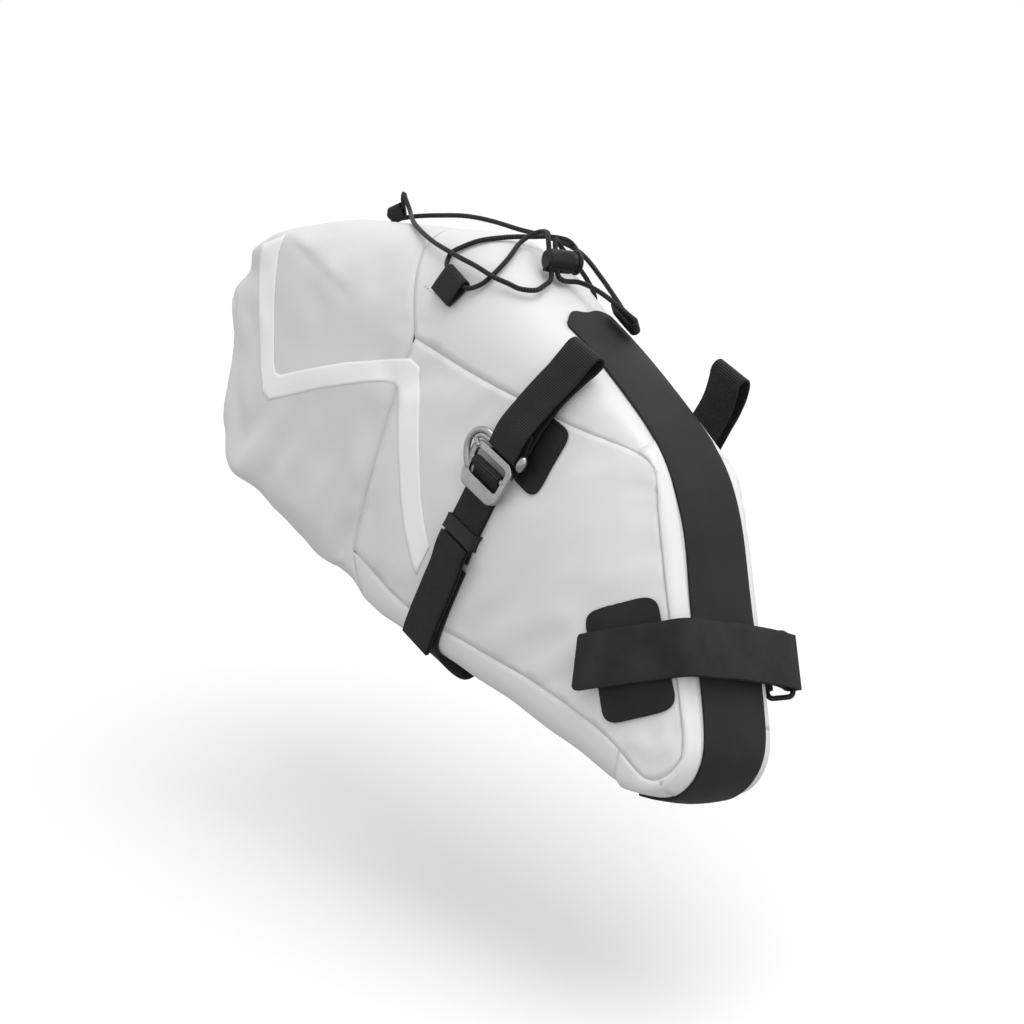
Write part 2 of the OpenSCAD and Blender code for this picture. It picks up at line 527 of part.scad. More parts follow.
module shock_cord() {
    color([0.08, 0.08, 0.08]) {
        tube(smooth(cord_a, 44), cord_d);
        tube(smooth(cord_b, 34), cord_d);
    }
}

// Cord lock: the barrel is crossed by two bores, and a spring pushes its button out
well_d = 9.6;
well_l = lock_l / 2 - bore_2 - bore_d / 2 - 0.8;
module in_lock() { translate(lock_at) rotate([0, 0, lock_axis]) rotate([0, 90, 0]) children(); }
module lock_barrel() {
    color([0.12, 0.12, 0.12]) difference() {
        in_lock() translate([0, 0, -lock_l / 2]) cylinder(h = lock_l, d = lock_d);
        in_lock() translate([0, 0, lock_l / 2 - well_l]) cylinder(h = well_l + 1, d = well_d);
        for (k = [bore_1, bore_2]) translate(lock_at + [k * lock_along[0], k * lock_along[1], -lock_d])
            cylinder(h = 2 * lock_d, d = bore_d);
    }
}
module lock_button() {
    color([0.16, 0.16, 0.16]) in_lock() translate([0, 0, lock_l / 2 - 1.6]) {
        cylinder(h = 1.8 + lock_travel, d = well_d - 0.6);
        translate([0, 0, 1.8 + lock_travel]) cylinder(h = 2.4, d = well_d + 2.4);
    }
}
spring_wire = 0.7;
module lock_spring() {
    // coils drawn as rings, joined by a straight wire
    coils = 4;
    room = well_l - 2 - lock_travel - 0.2;
    start = lock_l / 2 - well_l + 0.2 + spring_wire / 2;
    pitch = (room - spring_wire) / (coils - 1);
    coil_r = well_d / 2 - 1;
    color("silver") in_lock() {
        for (k = [0:coils - 1]) translate([0, 0, start + k * pitch]) rotate_extrude() translate([coil_r, 0])
            circle(d = spring_wire);
        translate([coil_r, 0, start]) cylinder(h = room - spring_wire, d = spring_wire);
    }
}

// Roll closure at the rear
roll_r = roll_d / 2;
roll_at = outline([0.902, 0.8267]) - [roll_r + 1.4, 0];
roll_band = 1.7;
module in_side() { rotate([90, 0, 0]) children(); }
module roll_closure() {
    turns = 2.2;
    path = [for (k = steps(0, 1, 44)) let (r = roll_r - roll_band / 2 - 2.6 * turns * (1 - k),
        a = 180 - 360 * turns * (1 - k))
            roll_at + r * [cos(a + 180), sin(a + 180)]];
    color("lightgray") in_side() band(path, roll_band, roll_l);
}
module roll_batten() {
    // its lower edge rests against the innermost turn
    batten_t = 2;
    front_face = 0.3 * roll_r;
    color([0.2, 0.2, 0.2]) translate([roll_at[0] + front_face - batten_t, -roll_l / 2, roll_at[1] - 8])
        cube([batten_t, roll_l, 16]);
}
function rear_lift(points, d) = [for (i = [0:len(points) - 1])
    [points[i][0], points[i][2]] - d * path_normal([for (p = points) [p[0], p[2]]], i)];
module closure_upper_webbing() {
    line = [for (v = steps(0.4, 0.8, 14)) spline(sleeve_top, v)];
    color([0.09, 0.09, 0.1]) in_side() band(rear_lift(line, seam_gap + web_t / 2), web_t, closure_w);
}
closure_r = roll_r + seam_gap + web_t / 2;
closure_pin = roll_at + [-roll_r - 1.6, -roll_r - 5];
closure_low = closure_pin - [0, 15];
pin_turn = 1.5 + seam_gap + web_t / 2;
module closure_rear_webbing() {
    path = concat([roll_at + [3, roll_r + 17], roll_at + [-1, roll_r + 12], roll_at + [-10, roll_r + 4]],
                  arc(roll_at, closure_r, 135, 205, 8), arc(closure_pin, pin_turn, 170, 350, 7));
    color([0.09, 0.09, 0.1]) in_side() band(path, web_t, closure_w);
}
module closure_hook() {
    wide = closure_w + 9;
    color("silver") translate([closure_pin[0], 0, closure_pin[1]]) {
        rotate([90, 0, 0]) translate([0, 0, -wide / 2]) cylinder(h = wide, d = 3);
        for (y = [-1, 1]) translate([-1.5, y * (wide / 2 - 1.5) - 1.5, -15]) cube([3, 3, 15]);
        translate([0, 0, -15]) rotate([90, 0, 0]) translate([0, 0, -wide / 2]) cylinder(h = wide, d = 3);
    }
}
module closure_lower_webbing() {
    line = [for (v = steps(0.45, 0.8, 10)) spline(sleeve_keel, v)];
    path = concat(rear_lift(line, -2 * seam_gap - web_t), arc(closure_low, pin_turn, 0, 190, 7),
                  [closure_low - [pin_turn + 0.4, 9]]);
    color([0.09, 0.09, 0.1]) in_side() band(path, web_t, closure_w);
}
module closure_patch() {
    rows = [for (v = steps(0.36, 0.58, 5)) [for (u = steps(2.75, 3.25, 6)) sleeve_point(v, u)]];
    color([0.1, 0.1, 0.11]) sheet(raised(rows, seam_gap + 0.8), 0.8);
}

side_panel();  // right_side_panel
left() side_panel();  // left_side_panel
top_panel();
base_panel();
rear_sleeve();
grip_strip();
side_stiffener();  // right_stiffener
left() side_stiffener();  // left_stiffener
base_stiffener();
strap_patch();  // right_strap_patch
left() strap_patch();  // left_strap_patch
rail_patch();  // right_rail_patch
left() rail_patch();  // left_rail_patch
rail_webbing(right_loop);  // right_rail_webbing
left() rail_webbing(left_loop);  // left_rail_webbing
hook();  // right_hook
left() hook();  // left_hook
adjuster_webbing();  // right_adjuster_webbing
left() adjuster_webbing();  // left_adjuster_webbing
keeper();  // right_keeper
left() keeper();  // left_keeper
belly_strap();
post_strap();
post_strap_tail();
ring_anchor();
strap_ring();
tab(side_tab_root, side_tab_eye, side_tab_across);  // right_cord_tab
left() tab(side_tab_root, side_tab_eye, side_tab_across);  // left_cord_tab
tab(rear_tab_root, rear_tab_eye, [1, 0, 0], small_tab_w);  // rear_cord_tab
tab(front_tab_root, front_tab_eye, front_tab_across,  // front_cord_tab
    small_tab_w);
shock_cord();
lock_barrel();
lock_button();
lock_spring();
roll_closure();
roll_batten();
closure_upper_webbing();
closure_rear_webbing();
closure_hook();
closure_lower_webbing();
closure_patch();
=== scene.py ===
import bpy
import bmesh
import json
import math
import numpy as np
from mathutils import Vector, Matrix, noise
from mathutils.kdtree import KDTree
from mathutils.bvhtree import BVHTree
from mathutils.geometry import intersect_point_line

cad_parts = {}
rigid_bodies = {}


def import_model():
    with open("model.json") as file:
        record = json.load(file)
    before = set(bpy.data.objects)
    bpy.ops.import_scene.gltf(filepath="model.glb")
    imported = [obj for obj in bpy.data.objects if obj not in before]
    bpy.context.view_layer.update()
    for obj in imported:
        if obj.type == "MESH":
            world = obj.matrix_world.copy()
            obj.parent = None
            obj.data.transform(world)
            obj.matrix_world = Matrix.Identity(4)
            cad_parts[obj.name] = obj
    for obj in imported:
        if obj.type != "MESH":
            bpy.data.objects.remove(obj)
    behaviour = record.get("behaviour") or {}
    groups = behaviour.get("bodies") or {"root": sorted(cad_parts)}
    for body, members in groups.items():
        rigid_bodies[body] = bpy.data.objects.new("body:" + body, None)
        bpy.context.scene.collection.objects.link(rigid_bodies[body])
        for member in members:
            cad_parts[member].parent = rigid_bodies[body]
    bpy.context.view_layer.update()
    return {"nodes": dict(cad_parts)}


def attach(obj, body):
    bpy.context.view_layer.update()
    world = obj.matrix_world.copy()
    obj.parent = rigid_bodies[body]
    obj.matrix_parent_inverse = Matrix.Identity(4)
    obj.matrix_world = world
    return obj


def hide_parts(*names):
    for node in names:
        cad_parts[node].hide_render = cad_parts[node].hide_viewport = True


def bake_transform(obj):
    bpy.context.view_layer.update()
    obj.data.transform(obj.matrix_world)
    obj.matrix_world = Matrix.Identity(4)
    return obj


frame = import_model()
nodes = frame["nodes"]
scene = bpy.context.scene
bpy.ops.object.select_all(action="DESELECT")
print("frame loaded:", len(nodes), "nodes")

# camera and image points
imageSize = (1024, 1024)
imagePoints = {
    "bagLeft": (226, 430), "bagRight": (769, 750), "bagTop": (430, 222), "bagBottom": (720, 805),
    "stripTip": (588, 313), "seamCorner": (415, 337), "sideSeamEnd": (349, 547),
    "stripeUpperCorner": (411, 358), "stripeLowerCorner": (268, 400),
    "railPatch": (541, 459), "hookWindow": (495, 466), "keeper": (464, 534), "nearTab": (450, 285),
    "cordLock": (560, 259), "strapPatch": (630, 661), "strapEnd": (572, 688), "farLoop": (720, 403),
}
view = {"place": (0.7756, -0.9261, -0.1996), "azimuth": 45.0, "elevation": -13.3, "roll": -5.0,
        "lens": 80.86, "sensor": 36.0}


def cameraAxes():
    a, e, r = (math.radians(view[k]) for k in ("azimuth", "elevation", "roll"))
    back = Vector((math.sin(a) * math.cos(e), -math.cos(a) * math.cos(e), math.sin(e)))
    level = Vector((math.cos(a), math.sin(a), 0))
    upright = back.cross(level)
    right = math.cos(r) * level + math.sin(r) * upright
    return right, back.cross(right), back


viewRight, viewUp, viewBack = cameraAxes()
viewPlace = Vector(view["place"])


def makeCamera():
    bpy.ops.object.camera_add()
    eye = bpy.context.object
    eye.name = "photoCamera"
    turn = Matrix((viewRight, viewUp, viewBack)).transposed()
    eye.matrix_world = Matrix.Translation(viewPlace) @ turn.to_4x4()
    eye.data.lens = view["lens"]
    eye.data.sensor_width = view["sensor"]
    eye.data.sensor_fit = "AUTO"
    eye.data.clip_start = 0.05
    scene.camera = eye
    eye.select_set(False)


makeCamera()
print("camera placed")


def sightLine(x, y):
    w, h = imageSize
    along = Vector((x - w / 2, h / 2 - y, -max(w, h) * view["lens"] / view["sensor"]))
    return (viewRight * along.x + viewUp * along.y + viewBack * along.z).normalized()


def inPicture(point):
    v = Vector(point) - viewPlace
    depth = -v.dot(viewBack)
    f = max(imageSize) * view["lens"] / view["sensor"]
    return (imageSize[0] / 2 + f * v.dot(viewRight) / depth, imageSize[1] / 2 - f * v.dot(viewUp) / depth)


def placeOn(tree, x, y):
    # where the sight line through a picture point meets the tree, or the nearest place to it
    line = sightLine(x, y)
    spot, normal, _, _ = tree.ray_cast(viewPlace, line)
    if spot is None:
        near = [tree.find_nearest(viewPlace + line * (0.95 + 0.01 * k)) for k in range(60)]
        spot, normal = min((n for n in near if n[0] is not None), key=lambda n: n[3])[:2]
    return spot, -normal if normal.dot(line) > 0 else normal


# materials
def newMaterial(name, base, rough, metallic=0.0):
    made = bpy.data.materials.new(name)
    made.use_nodes = True
    shader = made.node_tree.nodes["Principled BSDF"]
    shader.inputs["Base Color"].default_value = (*base, 1)
    shader.inputs["Roughness"].default_value = rough
    shader.inputs["Metallic"].default_value = metallic
    return made, shader


def addNode(tree, kind, values=None, **settings):
    made = tree.nodes.new(kind)
    for key, value in settings.items():
        setattr(made, key, value)
    for key, value in (values or {}).items():
        made.inputs[key].default_value = value
    return made


def newGroup(name, inputs, outputs):
    group = bpy.data.node_groups.new(name, "ShaderNodeTree")
    for label, kind, value in inputs:
        socket = group.interface.new_socket(label, in_out="INPUT", socket_type=kind)
        if value is not None:
            socket.default_value = value
    for label, kind in outputs:
        group.interface.new_socket(label, in_out="OUTPUT", socket_type=kind)
    return group, addNode(group, "NodeGroupInput"), addNode(group, "NodeGroupOutput")


weaveOutputs = [("Height", "NodeSocketFloat"), ("Mask", "NodeSocketFloat")]


def mathNode(tree, operation, first, second=None, clamp=False):
    made = addNode(tree, "ShaderNodeMath", operation=operation, use_clamp=clamp)
    for k, value in enumerate((first, second)):
        if isinstance(value, (int, float)):
            made.inputs[k].default_value = value
        elif value is not None:
            tree.links.new(value, made.inputs[k])
    return made.outputs[0]


def waveAlong(tree, distance, pitch, turns, absolute=False):
    # a sine of a distance in metres, one turn for each pitch
    steps = mathNode(tree, "DIVIDE", distance, pitch)
    wave = mathNode(tree, "SINE", mathNode(tree, "MULTIPLY", steps, turns * math.pi))
    return mathNode(tree, "ABSOLUTE", wave) if absolute else wave


def weighted(tree, first, share, second, rest):
    return mathNode(tree, "ADD", mathNode(tree, "MULTIPLY", first, share), mathNode(tree, "MULTIPLY", second, rest))


def makeWeaveGroup():
    # a plain weave: two sets of threads at right angles, lifted a little where they cross
    group, start, end = newGroup("threadWeave", [
        ("Vector", "NodeSocketVector", None), ("Pitch", "NodeSocketFloat", 0.001)], weaveOutputs)
    parts = addNode(group, "ShaderNodeSeparateXYZ")
    group.links.new(start.outputs["Vector"], parts.inputs[0])
    wave = [waveAlong(group, parts.outputs[axis], start.outputs["Pitch"], 2) for axis in (0, 1)]
    product = mathNode(group, "MULTIPLY", *wave)
    height = mathNode(group, "ADD", mathNode(group, "MULTIPLY", product, 0.5), 0.5)
    fluff = addNode(group, "ShaderNodeTexNoise", {"Scale": 900.0, "Detail": 2.0})
    group.links.new(start.outputs["Vector"], fluff.inputs["Vector"])
    group.links.new(weighted(group, height, 0.65, fluff.outputs["Fac"], 0.35), end.inputs["Height"])
    group.links.new(height, end.inputs["Mask"])
    return group


def makeRibGroup():
    # webbing: ribs across the strap, each a row of small threads
    group, start, end = newGroup("webbingRibs", [
        ("Vector", "NodeSocketVector", None), ("Rib", "NodeSocketFloat", 0.0012),
        ("Thread", "NodeSocketFloat", 0.0009)], weaveOutputs)
    parts = addNode(group, "ShaderNodeSeparateXYZ")
    group.links.new(start.outputs["Vector"], parts.inputs[0])
    rib, thread = (waveAlong(group, parts.outputs[axis], start.outputs[label], 1, True)
                   for axis, label in ((0, "Rib"), (1, "Thread")))
    height = weighted(group, mathNode(group, "POWER", rib, 0.6), 0.8, thread, 0.2)
    group.links.new(height, end.inputs["Height"])
    group.links.new(mathNode(group, "POWER", rib, 3.0), end.inputs["Mask"])
    return group


def makeCloudGroup():
    # soft, large patches of wear and handling, and a fine speckle
    group, start, end = newGroup("handlingMarks", [
        ("Vector", "NodeSocketVector", None), ("Size", "NodeSocketFloat", 12.0),
        ("Speckle", "NodeSocketFloat", 600.0)],
        [("Cloud", "NodeSocketFloat"), ("Grain", "NodeSocketFloat")])
    for label, scaleInput, detail in (("Cloud", "Size", 3.0), ("Grain", "Speckle", 4.0)):
        texture = addNode(group, "ShaderNodeTexNoise", {"Detail": detail, "Roughness": 0.55})
        group.links.new(start.outputs["Vector"], texture.inputs["Vector"])
        group.links.new(start.outputs[scaleInput], texture.inputs["Scale"])
        group.links.new(texture.outputs["Fac"], end.inputs[label])
    return group


weaveGroup, ribGroup, cloudGroup = makeWeaveGroup(), makeRibGroup(), makeCloudGroup()


def groupIn(tree, group, vector, values):
    made = addNode(tree, "ShaderNodeGroup", node_tree=group)
    tree.links.new(vector, made.inputs["Vector"])
    for key, value in values.items():
        made.inputs[key].default_value = value
    return made


def coordinates(tree, source="Object"):
    return addNode(tree, "ShaderNodeTexCoord").outputs[source]


def mapped(tree, place, **change):
    mapping = addNode(tree, "ShaderNodeMapping", change)
    tree.links.new(place, mapping.inputs["Vector"])
    return mapping.outputs["Vector"]


def mixColours(tree, mask, first, second):
    made = addNode(tree, "ShaderNodeMix", data_type="RGBA")
    made.inputs[6].default_value = (*first, 1)
    made.inputs[7].default_value = (*second, 1)
    tree.links.new(mask, made.inputs[0])
    return made.outputs[2]


def spread(tree, value, low, high, toLow=0.0, toHigh=1.0):
    made = addNode(tree, "ShaderNodeMapRange", {"From Min": low, "From Max": high, "To Min": toLow,
                                                "To Max": toHigh})
    tree.links.new(value, made.inputs["Value"])
    return made.outputs["Result"]


def bumpInto(tree, shader, height, distance, strength=1.0, before=None):
    made = addNode(tree, "ShaderNodeBump", {"Distance": distance, "Strength": strength})
    tree.links.new(height, made.inputs["Height"])
    if before is not None:
        tree.links.new(before.outputs["Normal"], made.inputs["Normal"])
    tree.links.new(made.outputs["Normal"], shader.inputs["Normal"])
    return made


def dressSocket(tree, shader, socket, value):
    tree.links.new(value, shader.inputs[socket])


def setSockets(shader, **values):
    for key, value in values.items():
        shader.inputs[key.replace("_", " ")].default_value = value


def coatedCloth(name, light, dark, rough, pitch, turn, weave, bump):
    made, shader = newMaterial(name, light, rough)
    tree = made.node_tree
    marks = groupIn(tree, cloudGroup, coordinates(tree), {"Size": 14.0, "Speckle": 700.0})
    turned = mapped(tree, coordinates(tree, "UV"), Rotation=(0, 0, math.radians(turn)))
    threads = groupIn(tree, weaveGroup, turned, {"Pitch": pitch})
    shade = mathNode(tree, "ADD", spread(tree, marks.outputs["Cloud"], 0.3, 0.7, 0.0, 0.6),
                     mathNode(tree, "MULTIPLY", threads.outputs["Mask"], weave), clamp=True)
    dressSocket(tree, shader, "Base Color", mixColours(tree, shade, light, dark))
    dressSocket(tree, shader, "Roughness", spread(tree, marks.outputs["Grain"], 0.3, 0.7, rough - 0.06, rough + 0.08))
    fine = bumpInto(tree, shader, marks.outputs["Grain"], 0.0001, 0.25)
    bumpInto(tree, shader, threads.outputs["Height"], bump, 0.6, fine)
    setSockets(shader, Sheen_Weight=0.12, Sheen_Roughness=0.5, Specular_IOR_Level=0.35)
    return made


def webbingCloth(name, dark, light, rib, thread, bump, rough=0.62):
    made, shader = newMaterial(name, dark, rough)
    tree = made.node_tree
    ribs = groupIn(tree, ribGroup, coordinates(tree, "UV"), {"Rib": rib, "Thread": thread})
    marks = groupIn(tree, cloudGroup, coordinates(tree), {"Size": 60.0, "Speckle": 1500.0})
    worn = spread(tree, marks.outputs["Grain"], 0.25, 0.75, 0.6, 1.0)
    shade = mathNode(tree, "MULTIPLY", ribs.outputs["Mask"], worn)
    dressSocket(tree, shader, "Base Color", mixColours(tree, shade, dark, light))
    dressSocket(tree, shader, "Roughness", spread(tree, marks.outputs["Cloud"], 0.3, 0.7, rough - 0.07, rough + 0.07))
    bumpInto(tree, shader, ribs.outputs["Height"], bump, 0.8)
    setSockets(shader, Sheen_Weight=0.03, Specular_IOR_Level=0.16)
    return made


def mouldedSurface(name, base, lighter, rough, size, speckle, bump, coat=0.0):
    made, shader = newMaterial(name, base, rough)
    tree = made.node_tree
    marks = groupIn(tree, cloudGroup, coordinates(tree), {"Size": size, "Speckle": speckle})
    shade = spread(tree, marks.outputs["Cloud"], 0.3, 0.75)
    dressSocket(tree, shader, "Base Color", mixColours(tree, shade, base, lighter))
    dressSocket(tree, shader, "Roughness", spread(tree, marks.outputs["Grain"], 0.3, 0.7, rough - 0.06, rough + 0.06))
    bumpInto(tree, shader, marks.outputs["Grain"], bump, 0.5)
    setSockets(shader, Coat_Weight=coat, Specular_IOR_Level=0.22)
    return made


def tumbledMetal(name, base, rough):
    made, shader = newMaterial(name, base, rough, 1.0)
    tree = made.node_tree
    place = coordinates(tree)
    marks = groupIn(tree, cloudGroup, place, {"Size": 90.0, "Speckle": 2500.0})
    brush = addNode(tree, "ShaderNodeTexNoise", {"Scale": 420.0, "Detail": 5.0})
    tree.links.new(mapped(tree, place, Scale=(1.0, 1.0, 14.0)), brush.inputs["Vector"])
    shade = spread(tree, marks.outputs["Cloud"], 0.3, 0.7)
    dressSocket(tree, shader, "Base Color", mixColours(tree, shade, base, [c * 0.72 for c in base]))
    dressSocket(tree, shader, "Roughness", spread(tree, brush.outputs["Fac"], 0.25, 0.75, rough - 0.1, rough + 0.15))
    bumpInto(tree, shader, brush.outputs["Fac"], 0.00008, 0.5)
    return made


def grey(level, blue=0.0):
    return (level, level, level + blue)


# light and dark colour, roughness, thread pitch, turn of the weave, its share of the colour, its bump
bodyCloth = coatedCloth("paleRipstop", grey(0.74, 0.005), grey(0.69, 0.005), 0.52, 0.0011, 32, 0.18, 0.00003)
sleeveCloth = coatedCloth("paleSleeveCloth", grey(0.70, 0.005), grey(0.655, 0.005), 0.46, 0.0007, 20, 0.15, 0.00002)
seamTapeCloth = coatedCloth("paleSeamBinding", grey(0.76), grey(0.71), 0.5, 0.0008, 10, 0.3, 0.00004)
# dark and light colour, rib and thread pitch, bump, roughness
webbing = webbingCloth("ribbedWebbing", grey(0.003, 0.0005), grey(0.040, 0.002), 0.00125, 0.0009, 0.0003)
fineWebbing = webbingCloth("fineRibbedWebbing", grey(0.006, 0.0005), grey(0.045, 0.002), 0.0010, 0.0008, 0.0002)
braid = webbingCloth("braidedCord", grey(0.006, 0.0005), grey(0.04, 0.002), 0.0016, 0.4, 0.00012, 0.55)
# two colours, roughness, size of the marks, speckle, bump, coat
stripeFilm = mouldedSurface("whiteReflectiveFilm", grey(0.91), grey(0.86), 0.38, 30.0, 1200.0, 0.00002)
stripRubber = mouldedSurface("gripRubber", grey(0.012, 0.001), grey(0.019, 0.001), 0.62, 25.0, 1600.0, 0.00005)
patchRubber = mouldedSurface("patchLaminate", grey(0.0085, 0.0005), grey(0.016, 0.001), 0.55, 40.0, 1500.0, 0.00004)
napped = mouldedSurface("nappedTape", grey(0.016, 0.001), grey(0.028, 0.001), 0.78, 55.0, 2600.0, 0.00022)
blackPlastic = mouldedSurface("blackPlastic", grey(0.006, 0.0005), grey(0.012, 0.001), 0.42, 60.0, 1800.0, 0.00003,
                              0.1)
keeperRubber = mouldedSurface("keeperRubber", grey(0.011, 0.0005), grey(0.020, 0.001), 0.5, 60.0, 1500.0, 0.00003)
stiffSheet = mouldedSurface("stiffSheet", grey(0.62, -0.02), grey(0.55, -0.01), 0.45, 20.0, 900.0, 0.00003)
whiteThread = mouldedSurface("whiteThread", grey(0.86), grey(0.7), 0.6, 300.0, 4000.0, 0.00005)
hookMetal = tumbledMetal("tumbledAluminium", grey(0.40, -0.005), 0.24)
springWire = tumbledMetal("springWire", grey(0.55, 0.01), 0.25)
print("materials made")


def dress(piece, material):
    piece.data.materials.clear()
    piece.data.materials.append(material)


# shared modelling steps
def select(piece):
    if bpy.context.object and bpy.context.object.mode != "OBJECT":
        bpy.ops.object.mode_set(mode="OBJECT")
    bpy.ops.object.select_all(action="DESELECT")
    piece.select_set(True)
    bpy.context.view_layer.objects.active = piece


def applyAll(piece):
    select(piece)
    for step in list(piece.modifiers):
        bpy.ops.object.modifier_apply(modifier=step.name)


def finishPiece(piece, body, material, slot, *replaced, angle=40):
    select(piece)
    bpy.ops.object.transform_apply(location=True, rotation=True, scale=True)
    if angle:
        bpy.ops.object.shade_smooth_by_angle(angle=math.radians(angle))
    else:
        bpy.ops.object.shade_smooth()
    piece.select_set(False)
    dress(piece, material)
    if replaced:
        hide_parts(*replaced)
    if body:
        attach(piece, body)
    return piece


def meshPiece(name, points, faces, uvs):
    mesh = bpy.data.meshes.new(name)
    mesh.from_pydata([tuple(p) for p in points], [], faces)
    mesh.update()
    piece = bpy.data.objects.new(name, mesh)
    scene.collection.objects.link(piece)
    setUvs(piece, uvs)
    return piece


def copyPiece(source, name):
    piece = source.copy()
    piece.data = source.data.copy()
    piece.name = name
    for key in list(piece.keys()):
        del piece[key]
    piece.parent = None
    piece.matrix_world = Matrix.Identity(4)
    scene.collection.objects.link(piece)
    return piece


def added(kind, name, **size):
    # a new mesh of one of Blender's own kinds, alone in the selection
    bpy.ops.object.select_all(action="DESELECT")
    getattr(bpy.ops.mesh, "primitive_" + kind + "_add")(**size)
    bpy.context.object.name = name
    return bpy.context.object


def openPiece(piece):
    # the piece in edit mode, selected all over
    select(piece)
    bpy.ops.object.mode_set(mode="EDIT")
    bpy.ops.mesh.select_all(action="SELECT")


def closePiece():
    bpy.ops.object.mode_set(mode="OBJECT")


def setUvs(piece, uvs):
    # one UV place for each point of the mesh
    layer = piece.data.uv_layers.get("UVMap") or piece.data.uv_layers.new(name="UVMap")
    loops = np.empty(len(piece.data.loops), int)
    piece.data.loops.foreach_get("vertex_index", loops)
    layer.data.foreach_set("uv", np.asarray(uvs, float)[loops].ravel())


def drawnOut(depth, inset=0.0):
    # the selected faces, first made smaller by an inset, then drawn out or pushed in along z
    if inset:
        bpy.ops.mesh.inset(thickness=inset)
    bpy.ops.mesh.extrude_region_move(TRANSFORM_OT_translate={"value": (0, 0, depth)})


def otherSide(points):
    return [(p[0], -p[1], p[2]) for p in points]


def softEdges(piece, width, segments, angle):
    soft = piece.modifiers.new("soft", "BEVEL")
    soft.width, soft.segments = width, segments
    soft.limit_method = "ANGLE"
    soft.angle_limit = math.radians(angle)


def pointTree(points):
    tree = KDTree(len(points))
    for k, point in enumerate(points):
        tree.insert(point, k)
    tree.balance()
    return tree


# the bag's cloth
bagShape = {"sheetThickness": 0.001, "levels": 2, "spineFront": (-0.03, 0, 0.03), "spineRear": (-0.33, 0, 0.25)}


def outwards(point):
    a, b = Vector(bagShape["spineFront"]), Vector(bagShape["spineRear"])
    share = min(max(intersect_point_line(point, a, b)[1], 0), 1)
    return (Vector(point) - a.lerp(b, share)).normalized()


def facesFrom(start, bend):
    # the faces that join this one without a sharp edge between them
    found, waiting = {start}, [start]
    while waiting:
        for edge in waiting.pop().edges:
            if len(edge.link_faces) == 2 and edge.calc_face_angle(0) < bend:
                for face in edge.link_faces:
                    if face not in found:
                        found.add(face)
                        waiting.append(face)
    return found


def outerSkin(nodeName, name, levels=None):
    # a copy of the CAD sheet without its rim and inner side, as quads
    piece = copyPiece(nodes[nodeName], name)
    openPiece(piece)
    bpy.ops.mesh.remove_doubles(threshold=0.00002)
    bpy.ops.mesh.select_mode(type="FACE")
    bpy.ops.mesh.select_all(action="DESELECT")
    shape = bmesh.from_edit_mesh(piece.data)
    left, best, most = set(shape.faces), None, 0
    while left:
        island = facesFrom(left.pop(), math.radians(55))
        left -= island
        reach = sum(f.calc_area() * f.normal.dot(outwards(f.calc_center_median())) for f in island)
        if reach > most:
            best, most = island, reach
    for face in shape.faces:
        face.select_set(face not in best)
    bmesh.update_edit_mesh(piece.data)
    bpy.ops.mesh.delete(type="FACE")
    bpy.ops.mesh.select_all(action="SELECT")
    bpy.ops.mesh.tris_convert_to_quads(face_threshold=math.radians(60), shape_threshold=math.radians(90))
    closePiece()
    smooth = piece.modifiers.new("smooth", "SUBSURF")
    smooth.levels = smooth.render_levels = bagShape["levels"] if levels is None else levels
    smooth.boundary_smooth = "PRESERVE_CORNERS"
    applyAll(piece)
    piece.select_set(False)
    return piece


panels = {}
for nodeName, name in (("right_side_panel", "rightSideCloth"), ("left_side_panel", "leftSideCloth"),
                       ("top_panel", "topCloth"), ("base_panel", "baseCloth"), ("rear_sleeve", "sleeveCloth")):
    panels[nodeName] = outerSkin(nodeName, name)
    print(name, len(panels[nodeName].data.vertices), "points")


def cornersOf(piece, what="co"):
    flat = np.empty(len(piece.data.vertices) * 3)
    piece.data.vertices.foreach_get(what, flat)
    return flat.reshape(-1, 3)


def setCorners(piece, places):
    piece.data.vertices.foreach_set("co", np.asarray(places, float).ravel())
    piece.data.update()


def treeOf(*pieces):
    points, faces = [], []
    for piece in pieces:
        start = len(points)
        points += [v.co.copy() for v in piece.data.vertices]
        faces += [[start + v for v in face.vertices] for face in piece.data.polygons]
    return BVHTree.FromPolygons(points, faces)


def edgeRuns(piece):
    # the open edges of a sheet, as rings of vertex numbers
    shape = bmesh.new()
    shape.from_mesh(piece.data)
    following = {}
    for edge in shape.edges:
        if edge.is_boundary:
            for a, b in ((0, 1), (1, 0)):
                following.setdefault(edge.verts[a].index, []).append(edge.verts[b].index)
    shape.free()
    runs, seen = [], set()
    for start in following:
        if start in seen:
            continue
        run, here, before = [start], start, None
        seen.add(start)
        while True:
            onward = [v for v in following[here] if v != before and (v not in seen)]
            if not onward:
                break
            before, here = here, onward[0]
            seen.add(here)
            run.append(here)
        runs.append(run)
    return runs


seams = {"reach": 0.004, "sink": 0.00022}


def sewEdges():
    # each open edge moves to the middle of the gap, a little below the cloth around it
    trees = {key: treeOf(piece) for key, piece in panels.items()}
    moved = {}
    for key, piece in panels.items():
        places = cornersOf(piece)
        for run in edgeRuns(piece):
            for v in run:
                here = Vector(places[v])
                best = None
                for other, tree in trees.items():
                    if other != key:
                        near = tree.find_nearest(here, seams["reach"])
                        if near[0] is not None and (best is None or near[3] < best[3]):
                            best = near
                if best is not None:
                    places[v] = here.lerp(best[0], 0.5) - outwards(here) * seams["sink"]
        moved[key] = places
    for key, places in moved.items():
        setCorners(panels[key], places)


sewEdges()
print("seams closed")

